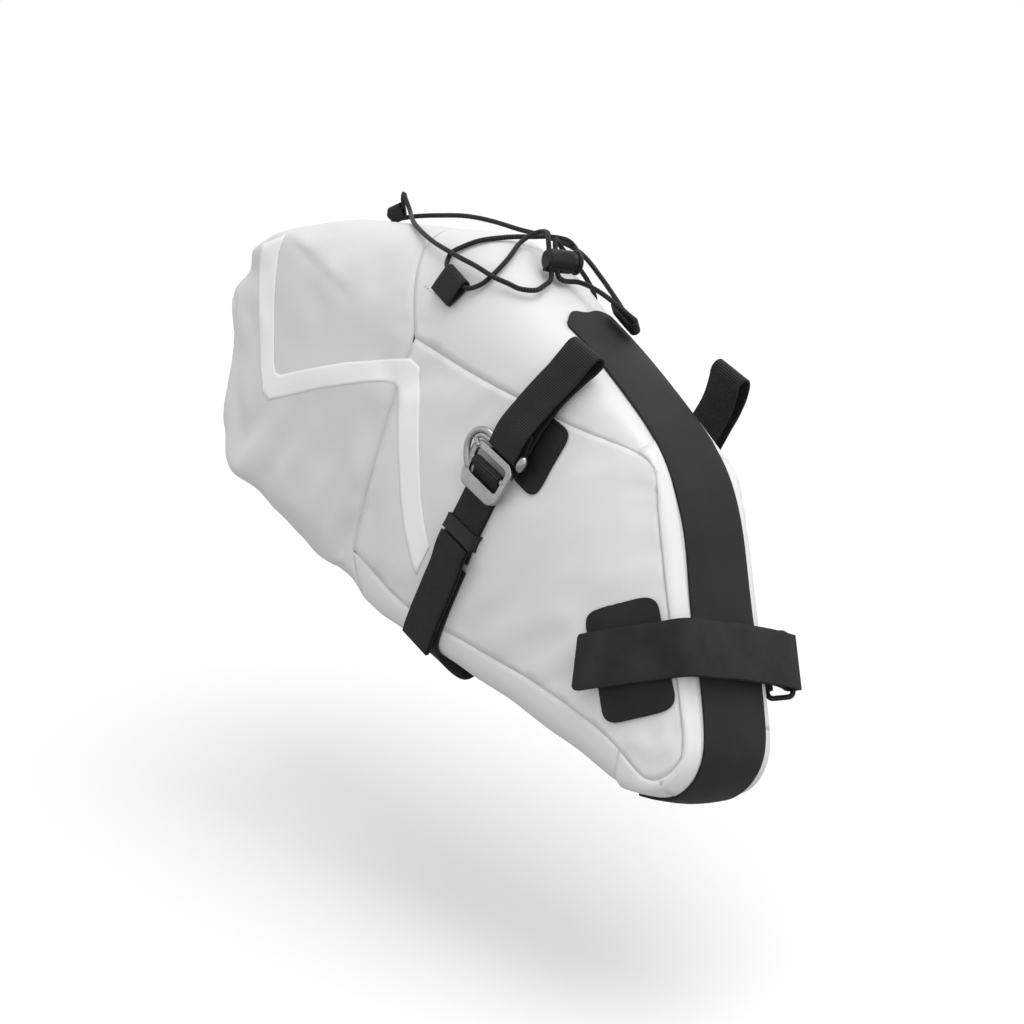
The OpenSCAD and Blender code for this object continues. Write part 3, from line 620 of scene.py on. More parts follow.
creases = {
    # picture points of a soft fold, its half width and its depth in metres
    "right": [
        ((290, 240), (357, 305), 0.0032, 0.0010), ((357, 305), (414, 336), 0.0032, 0.0010),
        ((392, 322), (437, 324), 0.0030, 0.0008), ((668, 748), (657, 781), 0.0030, 0.0008),
        ((684, 742), (671, 776), 0.0030, 0.0007), ((700, 752), (694, 770), 0.0030, 0.0006),
        ((372, 545), (388, 400), 0.009, 0.0016), ((300, 250), (330, 330), 0.010, 0.0011),
        ((262, 492), (300, 420), 0.008, 0.0016), ((240, 465), (262, 410), 0.007, 0.0014),
        ((320, 540), (345, 470), 0.007, 0.0012), ((247, 300), (262, 345), 0.006, 0.0012),
        ((285, 380), (350, 372), 0.012, -0.0010), ((300, 470), (395, 425), 0.014, 0.0010),
        ((236, 380), (246, 440), 0.006, 0.0013), ((655, 745), (640, 700), 0.006, 0.0009),
        ((560, 660), (630, 740), 0.012, 0.0008), ((440, 590), (430, 500), 0.014, 0.0008)],
    # soft bulges all over, and how much of them the sleeve and the other panels take
    "swell": 0.0010, "sleeveShare": 1.5, "bodyShare": 0.55,
    # the left side's folds: the right side's, mirrored, a little shifted, wider and shallower
    "leftStart": (0.012, 0, -0.008), "leftEnd": (0.004, 0, 0.010), "leftWidth": 1.1, "leftDepth": 0.9,
    # cloth is held still at a seam and at a piece on it, and moves fully beyond these distances
    "seamHold": 0.010, "pieceHold": 0.012, "pieceReach": 0.02, "pieceGap": 0.0012,
}


mountedNodes = ("right_strap_patch", "left_strap_patch", "right_rail_patch", "left_rail_patch", "grip_strip",
                "belly_strap", "right_cord_tab", "left_cord_tab", "front_cord_tab", "rear_cord_tab", "closure_patch",
                "closure_upper_webbing", "closure_lower_webbing", "ring_anchor")


def freeShare(hardware, place, gap):
    # 0 at a piece that lies on the cloth, 1 well away from it
    near = hardware.find_nearest(Vector(place), creases["pieceReach"])[3]
    return min(1.0, (creases["pieceReach"] if near is None else max(0.0, near - gap)) / creases["pieceHold"])


def foldCloth():
    tree = treeOf(*panels.values())
    hardware = treeOf(*[nodes[n] for n in mountedNodes])
    lines = []
    for (x0, y0), (x1, y1), width, depth in creases["right"]:
        a, b = placeOn(tree, x0, y0)[0], placeOn(tree, x1, y1)[0]
        lines.append((np.array(a), np.array(b), width, depth))
        away = np.array((1, -1, 1))
        lines.append((np.array(a) * away + creases["leftStart"], np.array(b) * away + creases["leftEnd"],
                      width * creases["leftWidth"], depth * creases["leftDepth"]))
    for key, piece in panels.items():
        places, normals = cornersOf(piece), cornersOf(piece, "normal")
        push = np.zeros(len(places))
        for a, b, width, depth in lines:
            along = b - a
            share = np.clip(((places - a) @ along) / (along @ along), 0, 1)
            gap = np.linalg.norm(places - (a + share[:, None] * along), axis=1)
            ends = np.clip(4 * share * (1 - share) + 0.25, 0, 1)
            profile = np.exp(-(gap / width) ** 2) - 0.45 * np.exp(-((gap - 1.9 * width) / width) ** 2)
            push -= depth * profile * ends
        amount = creases["swell"] * creases["sleeveShare" if key == "rear_sleeve" else "bodyShare"]
        for k, place in enumerate(places):
            slow = noise.noise(Vector(place) * 17 + Vector((3, 1, 7)))
            quick = noise.noise(Vector(place) * 46 + Vector((11, 5, 2)))
            push[k] += amount * (slow + 0.4 * quick)
        nearEdge = pointTree([places[v] for run in edgeRuns(piece) for v in run])
        for k, place in enumerate(places):
            push[k] *= (min(1.0, nearEdge.find(place)[2] / creases["seamHold"])
                        * freeShare(hardware, place, creases["pieceGap"]))
        setCorners(piece, places + normals * push[:, None])


foldCloth()
print("cloth folded")


outlineMoves = [
    # picture point, how far it moves in pixels, and how wide the move reaches
    ((244, 270), (6, 2), 15), ((256, 250), (-3, -1), 10), ((228, 360), (4, 0), 36), ((240, 462), (-10, 5), 22),
    ((315, 555), (-3, 6), 34), ((370, 610), (-4, 9), 34), ((410, 645), (-2, 5), 34), ((335, 225), (0, 2), 36),
    ((470, 690), (-2, 5), 40), ((540, 735), (-2, 5), 40),
    ((610, 778), (-1, 6), 40), ((690, 808), (0, 9), 44), ((765, 785), (-4, 3), 30), ((560, 262), (-1, 3), 24),
]


def moveInPicture(piece, moves, onCloth=None):
    # moves the points near a place in the picture by some pixels, in the picture's own plane
    scale = view["sensor"] / view["lens"] / imageSize[0]
    places = cornersOf(piece)
    for k, place in enumerate(places):
        place = Vector(place)
        x, y = inPicture(place)
        far = (viewPlace - place).dot(viewBack)
        shift = Vector((0, 0, 0))
        for (px, py), (dx, dy), reach in moves:
            weight = math.exp(-((x - px) ** 2 + (y - py) ** 2) / reach ** 2)
            if weight > 0.01:
                shift += (dx * viewRight - dy * viewUp) * weight * far * scale
        if shift.length > 0:
            place += shift
            if onCloth and shift.length > 0.0002:
                spot, normal, _, _ = clothTree.find_nearest(place)
                place = spot + (normal if normal.dot(outwards(spot)) > 0 else -normal) * onCloth
            places[k] = place
    setCorners(piece, places)


for piece in panels.values():
    moveInPicture(piece, outlineMoves)

clothRun = {"frames": 14, "pressure": 0.9, "shrink": -0.008, "cap": 0.0022, "quality": 4, "mass": 0.15,
            "stiffness": 25, "bending": 2.0, "pieceGap": 0.002,
            "pieces": ("rear_sleeve", "right_side_panel", "left_side_panel")}


def settleCloth(key):
    # Blender's Cloth, held along the seams, puffs the panel a little and gives it soft natural folds
    piece = panels[key]
    rest = cornersOf(piece)
    held = piece.vertex_groups.new(name="held")
    held.add([v for run in edgeRuns(piece) for v in run], 1.0, "ADD")
    select(piece)
    bpy.ops.object.modifier_add(type="CLOTH")
    cloth = piece.modifiers[-1]
    cloth.settings.vertex_group_mass = "held"
    cloth.settings.quality = clothRun["quality"]
    cloth.settings.mass = clothRun["mass"]
    cloth.settings.tension_stiffness = clothRun["stiffness"]
    cloth.settings.compression_stiffness = clothRun["stiffness"]
    cloth.settings.bending_stiffness = clothRun["bending"]
    cloth.settings.shrink_min = clothRun["shrink"]
    cloth.settings.use_pressure = True
    cloth.settings.uniform_pressure_force = clothRun["pressure"]
    cloth.settings.effector_weights.gravity = 0
    cloth.collision_settings.use_collision = False
    for step in range(1, clothRun["frames"] + 1):
        scene.frame_set(step)
    applyAll(piece)
    scene.frame_set(1)
    moved = cornersOf(piece) - rest
    far = np.linalg.norm(moved, axis=1)
    moved *= (np.minimum(1, clothRun["cap"] / np.maximum(far, 1e-9)))[:, None]
    hardware = treeOf(*[nodes[n] for n in mountedNodes])
    for k, place in enumerate(rest):
        moved[k] *= freeShare(hardware, place, clothRun["pieceGap"])
    setCorners(piece, rest + moved)
    piece.vertex_groups.clear()
    print("cloth settled on", piece.name, "by up to", round(1000 * float(np.linalg.norm(moved, axis=1).max()), 2),
          "mm")


for key in clothRun["pieces"]:
    settleCloth(key)


def clothUv(piece, key):
    # metres along and round the bag, so that the weave keeps its scale
    a, b = Vector(bagShape["spineFront"]), Vector(bagShape["spineRear"])
    along = (b - a).normalized()
    places = cornersOf(piece)
    if "side" in key:
        uvs = places[:, [0, 2]]
    else:
        lengthwise = (places - np.array(a)) @ np.array(along)
        uvs = np.stack([lengthwise, places[:, 1] + 0.8 * np.abs(places[:, 1]) ** 1.5], axis=1)
    setUvs(piece, uvs)


def thicken(piece, thickness, offset=-1.0, rim=0.0):
    wall = piece.modifiers.new("wall", "SOLIDIFY")
    wall.thickness = thickness
    wall.offset = offset
    wall.use_even_offset = False
    if rim:
        softEdges(piece, rim, 2, 60)
    applyAll(piece)
    piece.select_set(False)


clothTree = treeOf(*panels.values())
sideSeam = {}
for key in ("right_side_panel", "left_side_panel"):
    places = cornersOf(panels[key])
    sideSeam[key] = pointTree([places[v] for run in edgeRuns(panels[key]) for v in run])
for key, piece in panels.items():
    clothUv(piece, key)
    thicken(piece, bagShape["sheetThickness"])
    sleeve = key == "rear_sleeve"
    finishPiece(piece, "bag", sleeveCloth if sleeve else bodyCloth, "sleeve_fabric" if sleeve else "body_fabric", key,
                angle=0)
print("the bag's cloth is done")


# flat straps and films
def laidOn(points, lift):
    # the same points moved to just above the cloth
    out = []
    for p in points:
        spot, normal, _, _ = clothTree.find_nearest(Vector(p))
        if normal.dot(outwards(spot)) < 0:
            normal = -normal
        out.append(spot + normal * lift)
    return out


def rowsPiece(name, rows):
    # a sheet from rows of points, with its lengths in metres as UV
    points, faces, uvs = [], [], []
    gone = 0.0
    for i, row in enumerate(rows):
        if i:
            middle = len(row) // 2
            gone += (Vector(row[middle]) - Vector(rows[i - 1][middle])).length
        across = 0.0
        for j, p in enumerate(row):
            if j:
                across += (Vector(p) - Vector(row[j - 1])).length
            points.append(p)
            uvs.append((gone, across))
    wide = len(rows[0])
    for i in range(len(rows) - 1):
        for j in range(wide - 1):
            a = i * wide + j
            faces.append((a, a + 1, a + wide + 1, a + wide))
    return meshPiece(name, points, faces, uvs)


def strapRows(route, sideways, width, columns=6, roundStart=0.0, roundEnd=0.0, slantEnd=0.0):
    # rows across a strap's middle line; an end can be rounded by that radius
    route = [Vector(p) for p in route]
    lengths = [0.0]
    for a, b in zip(route, route[1:]):
        lengths.append(lengths[-1] + (b - a).length)
    total = lengths[-1]
    rows = []
    for k, (spot, gone) in enumerate(zip(route, lengths)):
        side = Vector(sideways)
        half = width / 2
        for radius, left in ((roundStart, gone), (roundEnd, total - gone)):
            if radius and left < radius:
                half = width / 2 - radius + math.sqrt(max(0.0, radius ** 2 - (radius - left) ** 2))
                half = max(half, 0.0002)
        row = []
        for j in range(columns + 1):
            t = 2 * j / columns - 1
            row.append(spot + side * half * t)
        rows.append(row)
    if slantEnd:
        reach = 3 * abs(slantEnd)
        for k, gone in enumerate(lengths):
            share = max(0.0, 1 - (total - gone) / reach)
            ahead = (route[min(k + 1, len(route) - 1)] - route[max(k - 1, 0)]).normalized()
            rows[k] = [p + ahead * slantEnd * share * (2 * j / columns - 1) * 0.5 for j, p in enumerate(rows[k])]
    return rows


def denser(points, step, smooth=True):
    # the same line with a point about every step, smooth through the given points
    pts = [Vector(p) for p in points]
    out = [pts[0]]
    for i in range(len(pts) - 1):
        a, b, c, d = pts[max(i - 1, 0)], pts[i], pts[i + 1], pts[min(i + 2, len(pts) - 1)]
        count = max(1, round((c - b).length / step))
        for k in range(1, count + 1):
            f = k / count
            if not smooth:
                out.append(b.lerp(c, f))
                continue
            m1, m2 = (c - a) * 0.5, (d - b) * 0.5
            span = (c - b).length
            for m, ref in ((m1, (b - a).length), (m2, (d - c).length)):
                if ref > 2.5 * span or span > 2.5 * max(ref, 1e-6):
                    m *= min(ref, span) * 2 / (ref + span)
            out.append((2 * f ** 3 - 3 * f ** 2 + 1) * b + (f ** 3 - 2 * f ** 2 + f) * m1
                       + (3 * f ** 2 - 2 * f ** 3) * c + (f ** 3 - f ** 2) * m2)
    return out


def arcPoints(centre, radius, first, last, count):
    turns = [math.radians(first + (last - first) * k / (count - 1)) for k in range(count)]
    return [(centre[0] + radius * math.cos(turn), centre[1] + radius * math.sin(turn)) for turn in turns]


webFrame = {"foot": (-0.111008, 0, 0.112992), "along": (0.70711, 0, 0.70711), "across": (0.70711, 0, -0.70711)}


def webPoint(s, h, w=0.0, side=-1):
    # millimetres along the web, out from the middle of the bag, and across the web
    return (Vector(webFrame["foot"]) + Vector(webFrame["along"]) * s / 1000 + Vector(webFrame["across"]) * w / 1000
            + Vector((0, side * h / 1000, 0)))


def strap(name, route, sideways, width, thickness, material, slot, body, *replaced, step=0.0015, columns=8,
          rim=0.00025, **ends):
    line = denser(route, step)
    piece = rowsPiece(name, strapRows(line, sideways, width, columns, **ends))
    thicken(piece, thickness, 0.0, rim)
    return finishPiece(piece, body, material, slot, *replaced, angle=50)


railStrap = {
    "width": 0.025, "thickness": 0.0013,
    "right": [
        (12, 55.4), (19, 55.1), (26, 54.7), (33, 54.2), (41, 53.5), (52, 51.5), (60.9, 50.2), (66.1, 48.9),
        (71.8, 47), (77.1, 44.9), (81.3, 42.9), (84.7, 41), (87.5, 39.6), (89.7, 38.7), (91.4, 38.2), (93, 38.3),
        (94.4, 38.9), (95.5, 39.8), (96.1, 41.1), (96.3, 42.6), (95.7, 44.1), (94.8, 45.4), (92.7, 46.9),
        (88.5, 48.8), (82.8, 51), (76.8, 53), (70.6, 54.8), (64.4, 56.4), (58.4, 57.9), (52.3, 59.4), (48, 60.4),
        (34.2, 64.6)],
    "left": [
        (12, 55.4), (19, 55.1), (26, 54.7), (33, 54.2), (41, 53.5), (52, 54.5), (55.8, 56), (61.6, 57.9), (69, 59.4),
        (78, 60.7), (85.9, 60.9), (92.4, 59.7), (97.6, 58.1), (101, 56.9), (103.1, 55.9), (105.2, 55.5),
        (107.2, 55.8), (108.7, 56.6), (109.7, 58), (110, 59.7), (109.5, 61.2), (108.2, 62.6), (105.7, 64),
        (102.1, 65.4), (97.6, 66.7), (92.2, 67.9), (85.9, 68.9), (78.2, 69.2), (69.3, 69.1), (61.2, 68.5),
        (53.4, 67.1), (48, 66), (34.2, 65.1)],
    "turn": ((22.2, 58.6), 3.0), "tail": [(31.2, 56.9), (38, 57.6)],
    # how far the strap lies to the front of the hook's middle, how much further at its top, from where to where
    "aside": 5.0, "lean": {"right": (4.5, 42, 92), "left": (18.0, 26, 62)},
    "short": {"right": 3.5, "left": 6.5}, "lowered": {"right": 3.0, "left": 2.0},
}
adjusterStrap = {
    "width": 0.025, "thickness": 0.0013, "bar": ((6.5, 59.78), 2.5),
    "first": [(-48, 53.5), (-37.5, 55.28), (-31, 55.28), (-18, 55.28), (-4, 55.28), (2.5, 55.7), (5.4, 56.75)],
    "second": [(4.2, 60.6), (1.8, 58.4), (-0.9, 57.3), (-3, 56.98), (-18, 56.98), (-37.5, 56.98), (-48, 56.7)],
    "overCloth": 3.6,
}


def surfaceOut(s, side):
    # how far out the cloth is at this place along the web, in millimetres
    start = webPoint(s, 120, 0, side)
    spot, _, _, _ = clothTree.ray_cast(start, Vector((0, -side, 0)))
    return abs(spot.y) * 1000 if spot else 47.0


for side, sideName in ((-1, "right"), (1, "left")):
    across = Vector(webFrame["across"])
    turnAt, turnRadius = railStrap["turn"]
    route = []
    for k, (s, h) in enumerate(railStrap[sideName]):
        outer = k > len(railStrap[sideName]) / 2 and s < 97
        route.append((s, h - (railStrap["lowered"][sideName] * min(1.0, (97 - s) / 20) if outer else 0)))
    route += arcPoints(turnAt, turnRadius, 80, 285, 12) + railStrap["tail"]
    spots = []
    for s, h in route:
        lean, leanFrom, leanTo = railStrap["lean"][sideName]
        share = min(1.0, max(0.0, (s - leanFrom) / (leanTo - leanFrom)))
        aside = railStrap["aside"] + lean * share * share * (3 - 2 * share)
        spots.append(webPoint(s - railStrap["short"][sideName] * share, h, aside, side))
    strap(sideName + "RailStrap", spots, across, railStrap["width"],
          railStrap["thickness"], webbing, "webbing", "bag", sideName + "_rail_webbing")
    barAt, barRadius = adjusterStrap["bar"]
    under = {s: surfaceOut(s, side) + adjusterStrap["overCloth"] for s in (-59.5, -70, -80, -90, -103)}
    bottom = under[-103] - 0.9
    hugging = list(under.items()) + [(-107, bottom)]
    hugging += arcPoints((-107.5, bottom + 1.1), 1.1, 250, 110, 7) + [(-107, bottom + 2.2)]
    hugging += [(s, h + 2.3) for s, h in reversed(list(under.items()))] + [(-48, 59.0), (-39.5, 59.4)]
    route = adjusterStrap["first"] + arcPoints(barAt, barRadius, -75, 100, 9) + adjusterStrap["second"] + hugging
    strap(sideName + "AdjusterStrap", [webPoint(s, h, 0, side) for s, h in route], across, adjusterStrap["width"],
          adjusterStrap["thickness"], webbing, "webbing", None, sideName + "_adjuster_webbing")
    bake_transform(bpy.data.objects[sideName + "AdjusterStrap"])
print("rail and adjuster straps done")

postStrap = {
    "width": 0.030, "thickness": 0.0015,
    "strap": [
        (-48, -48.5), (-38, -46.4), (-28, -43.6), (-18, -40.6), (-8, -37.6), (-2, -36.1), (1.6, -33.7), (3.4, -32.1),
        (4.5, -30.1), (5.3, -28), (5.8, -26.5), (5.8, 0), (5.8, 23), (4.9, 33), (1.9, 42), (-1.2, 47.8)],
    "tail": [
        (6.2, 46.5), (7.8, 38), (8.6, 24), (8.85, 0), (8.85, -20), (8.8, -25.5), (8.5, -29), (6.85, -33.5),
        (4.2, -36.2), (0.85, -37.9), (-8, -39.8), (-18, -42.8), (-28, -45.8), (-38, -48.6), (-48, -50.7),
        (-60, -53.3)],
    "ring": (0.4, 51.9), "strapTurn": 2.5, "tailTurn": 4.1, "drop": -0.0024,
    # the tail's end lies higher and the ring's side hangs lower: y where it starts, over how far, by how much
    "rise": (25, 28, 3.2), "hang": (10, 35, 2.0),
    "anchor": [(-46, 48.2), (-36, 45.8), (-26, 43), (-18, 40.6), (-13, 39.95)],
    "anchorBack": [(-12.5, 45.2), (-18, 45.8), (-27, 45.4), (-36, 47.8)], "anchorAt": (-10, 42.6),
}


def level(points):
    out = []
    for x, y in points:
        rise, hang = (amount * min(1.0, max(0.0, (far - start) / reach))
                      for far, (start, reach, amount) in ((-y, postStrap["rise"]), (y, postStrap["hang"])))
        out.append(Vector((x / 1000, y / 1000, postStrap["drop"] + (rise - hang) / 1000)))
    return out


strap("postStrap", level(postStrap["strap"] + arcPoints(postStrap["ring"], postStrap["strapTurn"], 200, 36, 16)),
      (0, 0, 1), postStrap["width"], postStrap["thickness"], napped, "hook_and_loop", None, "post_strap")
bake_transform(bpy.data.objects["postStrap"])
strap("postStrapTail", level(arcPoints(postStrap["ring"], postStrap["tailTurn"], 62, 0, 8) + postStrap["tail"]),
      (0, 0, 1), postStrap["width"], postStrap["thickness"], napped, "hook_and_loop", "strap_tail", "post_strap_tail",
      roundEnd=0.003, slantEnd=-0.006)
anchorLoop = postStrap["anchor"] + arcPoints(postStrap["anchorAt"], 2.75, -85, 85, 10) + postStrap["anchorBack"]
strap("ringAnchorStrap", level(anchorLoop), (0, 0, 1), 0.028, 0.0013, webbing, "webbing", "bag", "ring_anchor")


def makeRing():
    # a wire ring: a long bar in the anchor, another that the strap turns round, joined by round corners
    r = ringShape
    pin, end = Vector((*r["pin"], 0)), Vector((*postStrap["ring"], 0))
    across, middle = (end - pin).normalized(), (pin + end) / 2
    wide, tall, corner = (end - pin).length / 2, r["tall"] / 2 - r["bar"], r["corner"]
    flat = []
    for x, y, turn in ((1, 1, 0), (-1, 1, 90), (-1, -1, 180), (1, -1, 270)):
        flat += arcPoints((x * (wide - corner), y * (tall - corner)), corner, turn, turn + 90, 7)
    loop = [(middle + across * x + Vector((0, 0, r["middle"] + y))) / 1000 for x, y in flat]
    half = (loop[0] + loop[-1]) / 2
    ring = tubeAlong("strapRing", denser([half] + loop + [half], 0.001), r["bar"] / 1000, 16)
    openPiece(ring)
    bpy.ops.mesh.remove_doubles(threshold=0.00001)
    bpy.ops.mesh.normals_make_consistent(inside=False)
    closePiece()
    finishPiece(ring, "ring", blackPlastic, "moulded_plastic", "strap_ring", angle=50)


print("post strap done")


def skinPiece(nodeName, name, material, slot, thickness, levels=1, groove=None, **look):
    # a piece that lies on the bag, from its CAD solid's outer side
    piece = outerSkin(nodeName, name, levels)
    places, normals = cornersOf(piece), cornersOf(piece, "normal")
    push = np.zeros(len(places))
    if groove:
        nearRim = pointTree([places[v] for run in edgeRuns(piece) for v in run])
        for k, place in enumerate(places):
            gap = nearRim.find(place)[2] - groove[0]
            push[k] -= groove[1] * math.exp(-(gap / groove[2]) ** 2)
            if gap < 0:
                push[k] -= groove[1] * 0.5 * (gap / groove[0]) ** 2
    setCorners(piece, places + normals * push[:, None])
    moveInPicture(piece, look.get("moves", outlineMoves), look.get("onCloth"))
    setUvs(piece, np.stack([places[:, 1] + np.sign(places[:, 1]) * places[:, 2],
                            (places[:, 0] - places[:, 2]) * 0.7071], axis=1))
    thicken(piece, thickness, -1.0, look.get("rim", 0.0003))
    return finishPiece(piece, "bag", material, slot, nodeName, angle=look.get("angle", 50))


seamTape = {"reach": 0.017, "share": 0.94, "lift": 0.0004, "thickness": 0.0003, "columns": 8,
            # it starts this share under the strip, keeps this far from the middle, and a run has more rows than this
            "under": 0.10, "middleGap": 0.015, "fewRows": 4}


def makeSeamTape():
    # the pale binding between the grip strip and the side seams
    strip = outerSkin("grip_strip", "stripCopy", 1)
    moveInPicture(strip, outlineMoves)
    places = cornersOf(strip)
    run = max(edgeRuns(strip), key=len)
    groups, rows, before = [], [], None
    for v in run + run[:1]:
        spot = Vector(places[v])
        key = "right_side_panel" if spot.y < 0 else "left_side_panel"
        near = sideSeam[key].find(spot)
        if near[2] > seamTape["reach"] or abs(spot.y) < seamTape["middleGap"] or key != before:
            if len(rows) > seamTape["fewRows"]:
                groups.append((before, rows))
            rows = []
        if near[2] <= seamTape["reach"] and abs(spot.y) >= seamTape["middleGap"]:
            start = spot.lerp(near[0], -seamTape["under"])
            rows.append(laidOn([start.lerp(near[0], seamTape["share"] * j / seamTape["columns"])
                                for j in range(seamTape["columns"] + 1)], seamTape["lift"]))
        before = key
    if len(rows) > seamTape["fewRows"]:
        groups.append((before, rows))
    for key in ("right_side_panel", "left_side_panel"):
        rows = max((r for k, r in groups if k == key), key=len)
        piece = rowsPiece(key.split("_")[0] + "SeamTape", rows)
        openPiece(piece)
        bpy.ops.mesh.normals_make_consistent(inside=False)
        closePiece()
        thicken(piece, seamTape["thickness"], 0.0)
        finishPiece(piece, "bag", seamTapeCloth, "body_fabric", angle=0)
        print(piece.name, len(rows), "rows")
    bpy.data.objects.remove(strip)


makeSeamTape()
skinPiece("grip_strip", "gripStrip", stripRubber, "grip_rubber", 0.0014, 1, rim=0.0004, onCloth=0.0017,
          moves=outlineMoves + [((562, 302), (9, 17), 16), ((592, 300), (14, 12), 20), ((571, 291), (4, 8), 13),
                                ((561, 290), (2, 11), 10),
                               ((566, 322), (-4, 2), 13), ((684, 540), (7, 0), 60), ((715, 700), (8, 0), 80)])
for sideName in ("right", "left"):
    skinPiece(sideName + "_strap_patch", sideName + "StrapPatch", patchRubber, "patch_laminate", 0.0011, 3,
              groove=(0.0032, 0.0005, 0.0007),
              moves=[((600, 613), (-5, -1), 42), ((604, 712), (-5, 4), 42), ((662, 610), (3, -1), 34),
                     ((668, 712), (5, 6), 50)],
              onCloth=0.0014)
    skinPiece(sideName + "_rail_patch", sideName + "RailPatch", patchRubber, "patch_laminate", 0.0011, 3,
              groove=(0.0028, 0.0005, 0.0007),
              moves=[((535, 488), (0, 5), 26)], onCloth=0.0014)
skinPiece("belly_strap", "bellyStrap", webbing, "webbing", 0.0013, 1,
          moves=outlineMoves + [((458, 660), (6, 16), 22)])
skinPiece("closure_patch", "closurePatch", patchRubber, "patch_laminate", 0.0008, 2, groove=(0.0028, 0.0003, 0.0006))
print("strip and patches done")


cordShape = {
    "radius": 0.0015, "sides": 10, "step": 0.0018,
    "first": [
        (-86.4, -15.4, 241), (-86.4, -15.4, 234), (-85.6, -18, 229.5), (-85, -23, 226), (-84, -32, 221),
        (-90, -38.5, 222.5), (-96, -41.5, 227), (-103.2, -45.8, 232.5), (-116, -46.5, 243), (-131, -46.5, 254),
        (-154, -42.5, 271), (-177, -32, 289), (-194, -20, 302), (-209, -7, 313), (-215, -2.5, 320),
        (-219.4, -0.9, 328.5), (-221.6, 0, 333), (-223.2, 0.4, 330), (-224.2, 1.2, 326.8), (-226, 1.5, 325.5),
        (-232, 1.5, 325.5), (-238, 1.5, 325.5), (-241.5, 5, 325), (-241, 8.5, 324), (-236, 9.5, 323),
        (-221, 9.5, 319.5), (-202, 11, 314), (-181, 13, 307), (-160, 14, 297), (-139, 16, 285), (-117, 20, 273),
        (-99, 24, 259), (-88, 28, 241), (-75, 30, 217), (-67, 28, 203.5), (-62.4, 23.7, 198.3), (-58.5, 19, 200.5),
        (-54.8, 14.3, 202.7), (-55.5, 9, 207), (-64.5, 5.5, 217.5), (-75, 5, 226.5), (-82.5, 3, 231.5),
        (-86.5, -1, 232.5), (-86, -7, 232), (-85.3, -11.2, 234), (-85.3, -11.2, 241)],
    "second": [
        (-86.4, -15.4, 245), (-86.4, -15.4, 252.5), (-87.5, -14, 257), (-91, -10.5, 262), (-98, -8.5, 265.5),
        (-104, -11.5, 264.5), (-106.5, -18.5, 259), (-104, -32, 246), (-107.5, -42, 235.5), (-113, -47, 230.5),
        (-120.7, -50.8, 230.2), (-128.6, -50, 239.2), (-136.5, -49.2, 248.2), (-139.5, -45.5, 254.5),
        (-139, -42, 259.5), (-134.5, -38, 262), (-125, -31, 264.5), (-114, -18, 265.5), (-108, -6, 266),
        (-103, 5, 266.5), (-102, 19, 266), (-109, 33, 262), (-127, 40.5, 263.5), (-137, 43.5, 259),
        (-139.5, 46, 254.5), (-135.7, 48.7, 249.3), (-127.8, 49.5, 240.3), (-119.9, 50.3, 231.3), (-113, 47.5, 231.5),
        (-106, 40.5, 238), (-100, 28, 244.5), (-94.5, 14, 249), (-90, 0, 253.5), (-86.5, -8.5, 256.5),
        (-85.3, -11.2, 252.5), (-85.3, -11.2, 245)],
}


def tubeAlong(name, line, radius, sides):
    # a round tube along the line, its UV in metres along and round it, its ends closed
    points, faces, uvs = [], [], []
    line = [Vector(p) for p in line]
    normal = (line[1] - line[0]).orthogonal().normalized()
    gone = 0.0
    for k, spot in enumerate(line):
        ahead = (line[min(k + 1, len(line) - 1)] - line[max(k - 1, 0)]).normalized()
        normal = (normal - ahead * normal.dot(ahead)).normalized()
        side = ahead.cross(normal)
        if k:
            gone += (spot - line[k - 1]).length
        for j in range(sides):
            a = 2 * math.pi * j / sides
            points.append(spot + (normal * math.cos(a) + side * math.sin(a)) * radius)
            uvs.append((gone, j * 2 * math.pi * radius / sides))
    for k in range(len(line) - 1):
        for j in range(sides):
            a, b = k * sides + j, k * sides + (j + 1) % sides
            faces.append((a, b, b + sides, a + sides))
    faces.append(tuple(reversed(range(sides))))
    faces.append(tuple((len(line) - 1) * sides + j for j in range(sides)))
    return meshPiece(name, points, faces, uvs)


def joined(name, *parts):
    select(parts[0])
    for part in parts[1:]:
        part.select_set(True)
    bpy.ops.object.join()
    parts[0].name = name
    return parts[0]


def inMetres(points):
    return [Vector(p) / 1000 for p in points]


ringShape = {"pin": (-10, 42.6), "tall": 38.5, "bar": 1.5, "corner": 3.0, "middle": -4.9}
makeRing()

shockCord = joined("shockCord", *(
    tubeAlong("cord" + part.capitalize(), denser(inMetres(cordShape[part]), cordShape["step"]), cordShape["radius"],
              cordShape["sides"]) for part in ("first", "second")))
finishPiece(shockCord, "bag", braid, "cord", "shock_cord", angle=0)

cordTabs = {
    # root, eye, direction across, width, all in millimetres
    "right_cord_tab": ((-139.9, -53.2, 229.6), (-128.6, -50, 239.2), (0.66, -0.07, -0.75), 20),
    "left_cord_tab": ((-138.9, 52.8, 230.8), (-127.8, 49.5, 240.3), (0.66, 0.07, -0.75), 20),
    "rear_cord_tab": ((-231, 4, 318.5), (-231, 1.5, 325.5), (1, 0, 0), 11),
    "front_cord_tab": ((-71, 17, 214.5), (-58.5, 19, 200.5), (0.557, -0.757, 0.342), 9),
}
for nodeName, (root, eye, across, width) in cordTabs.items():
    root, eye, across = Vector(root), Vector(eye), Vector(across)
    along = (eye - root).normalized()
    across = (across - along * across.dot(along)).normalized()
    upward = along.cross(across)
    long = (eye - root).length
    profile = [(0, -1.6), (long * 0.5, -2.3)] + arcPoints((long, 0), 2.7, -80, 80, 9)
    profile += [(long * 0.5, 1.5), (0, 0.1)]
    route = [(root + along * u + upward * v) / 1000 for u, v in profile]
    name = nodeName.split("_")[0] + "CordTab"
    strap(name, route, across, width / 1000, 0.0013, webbing, "webbing", "bag", nodeName, step=0.0008)
print("cord and tabs done")

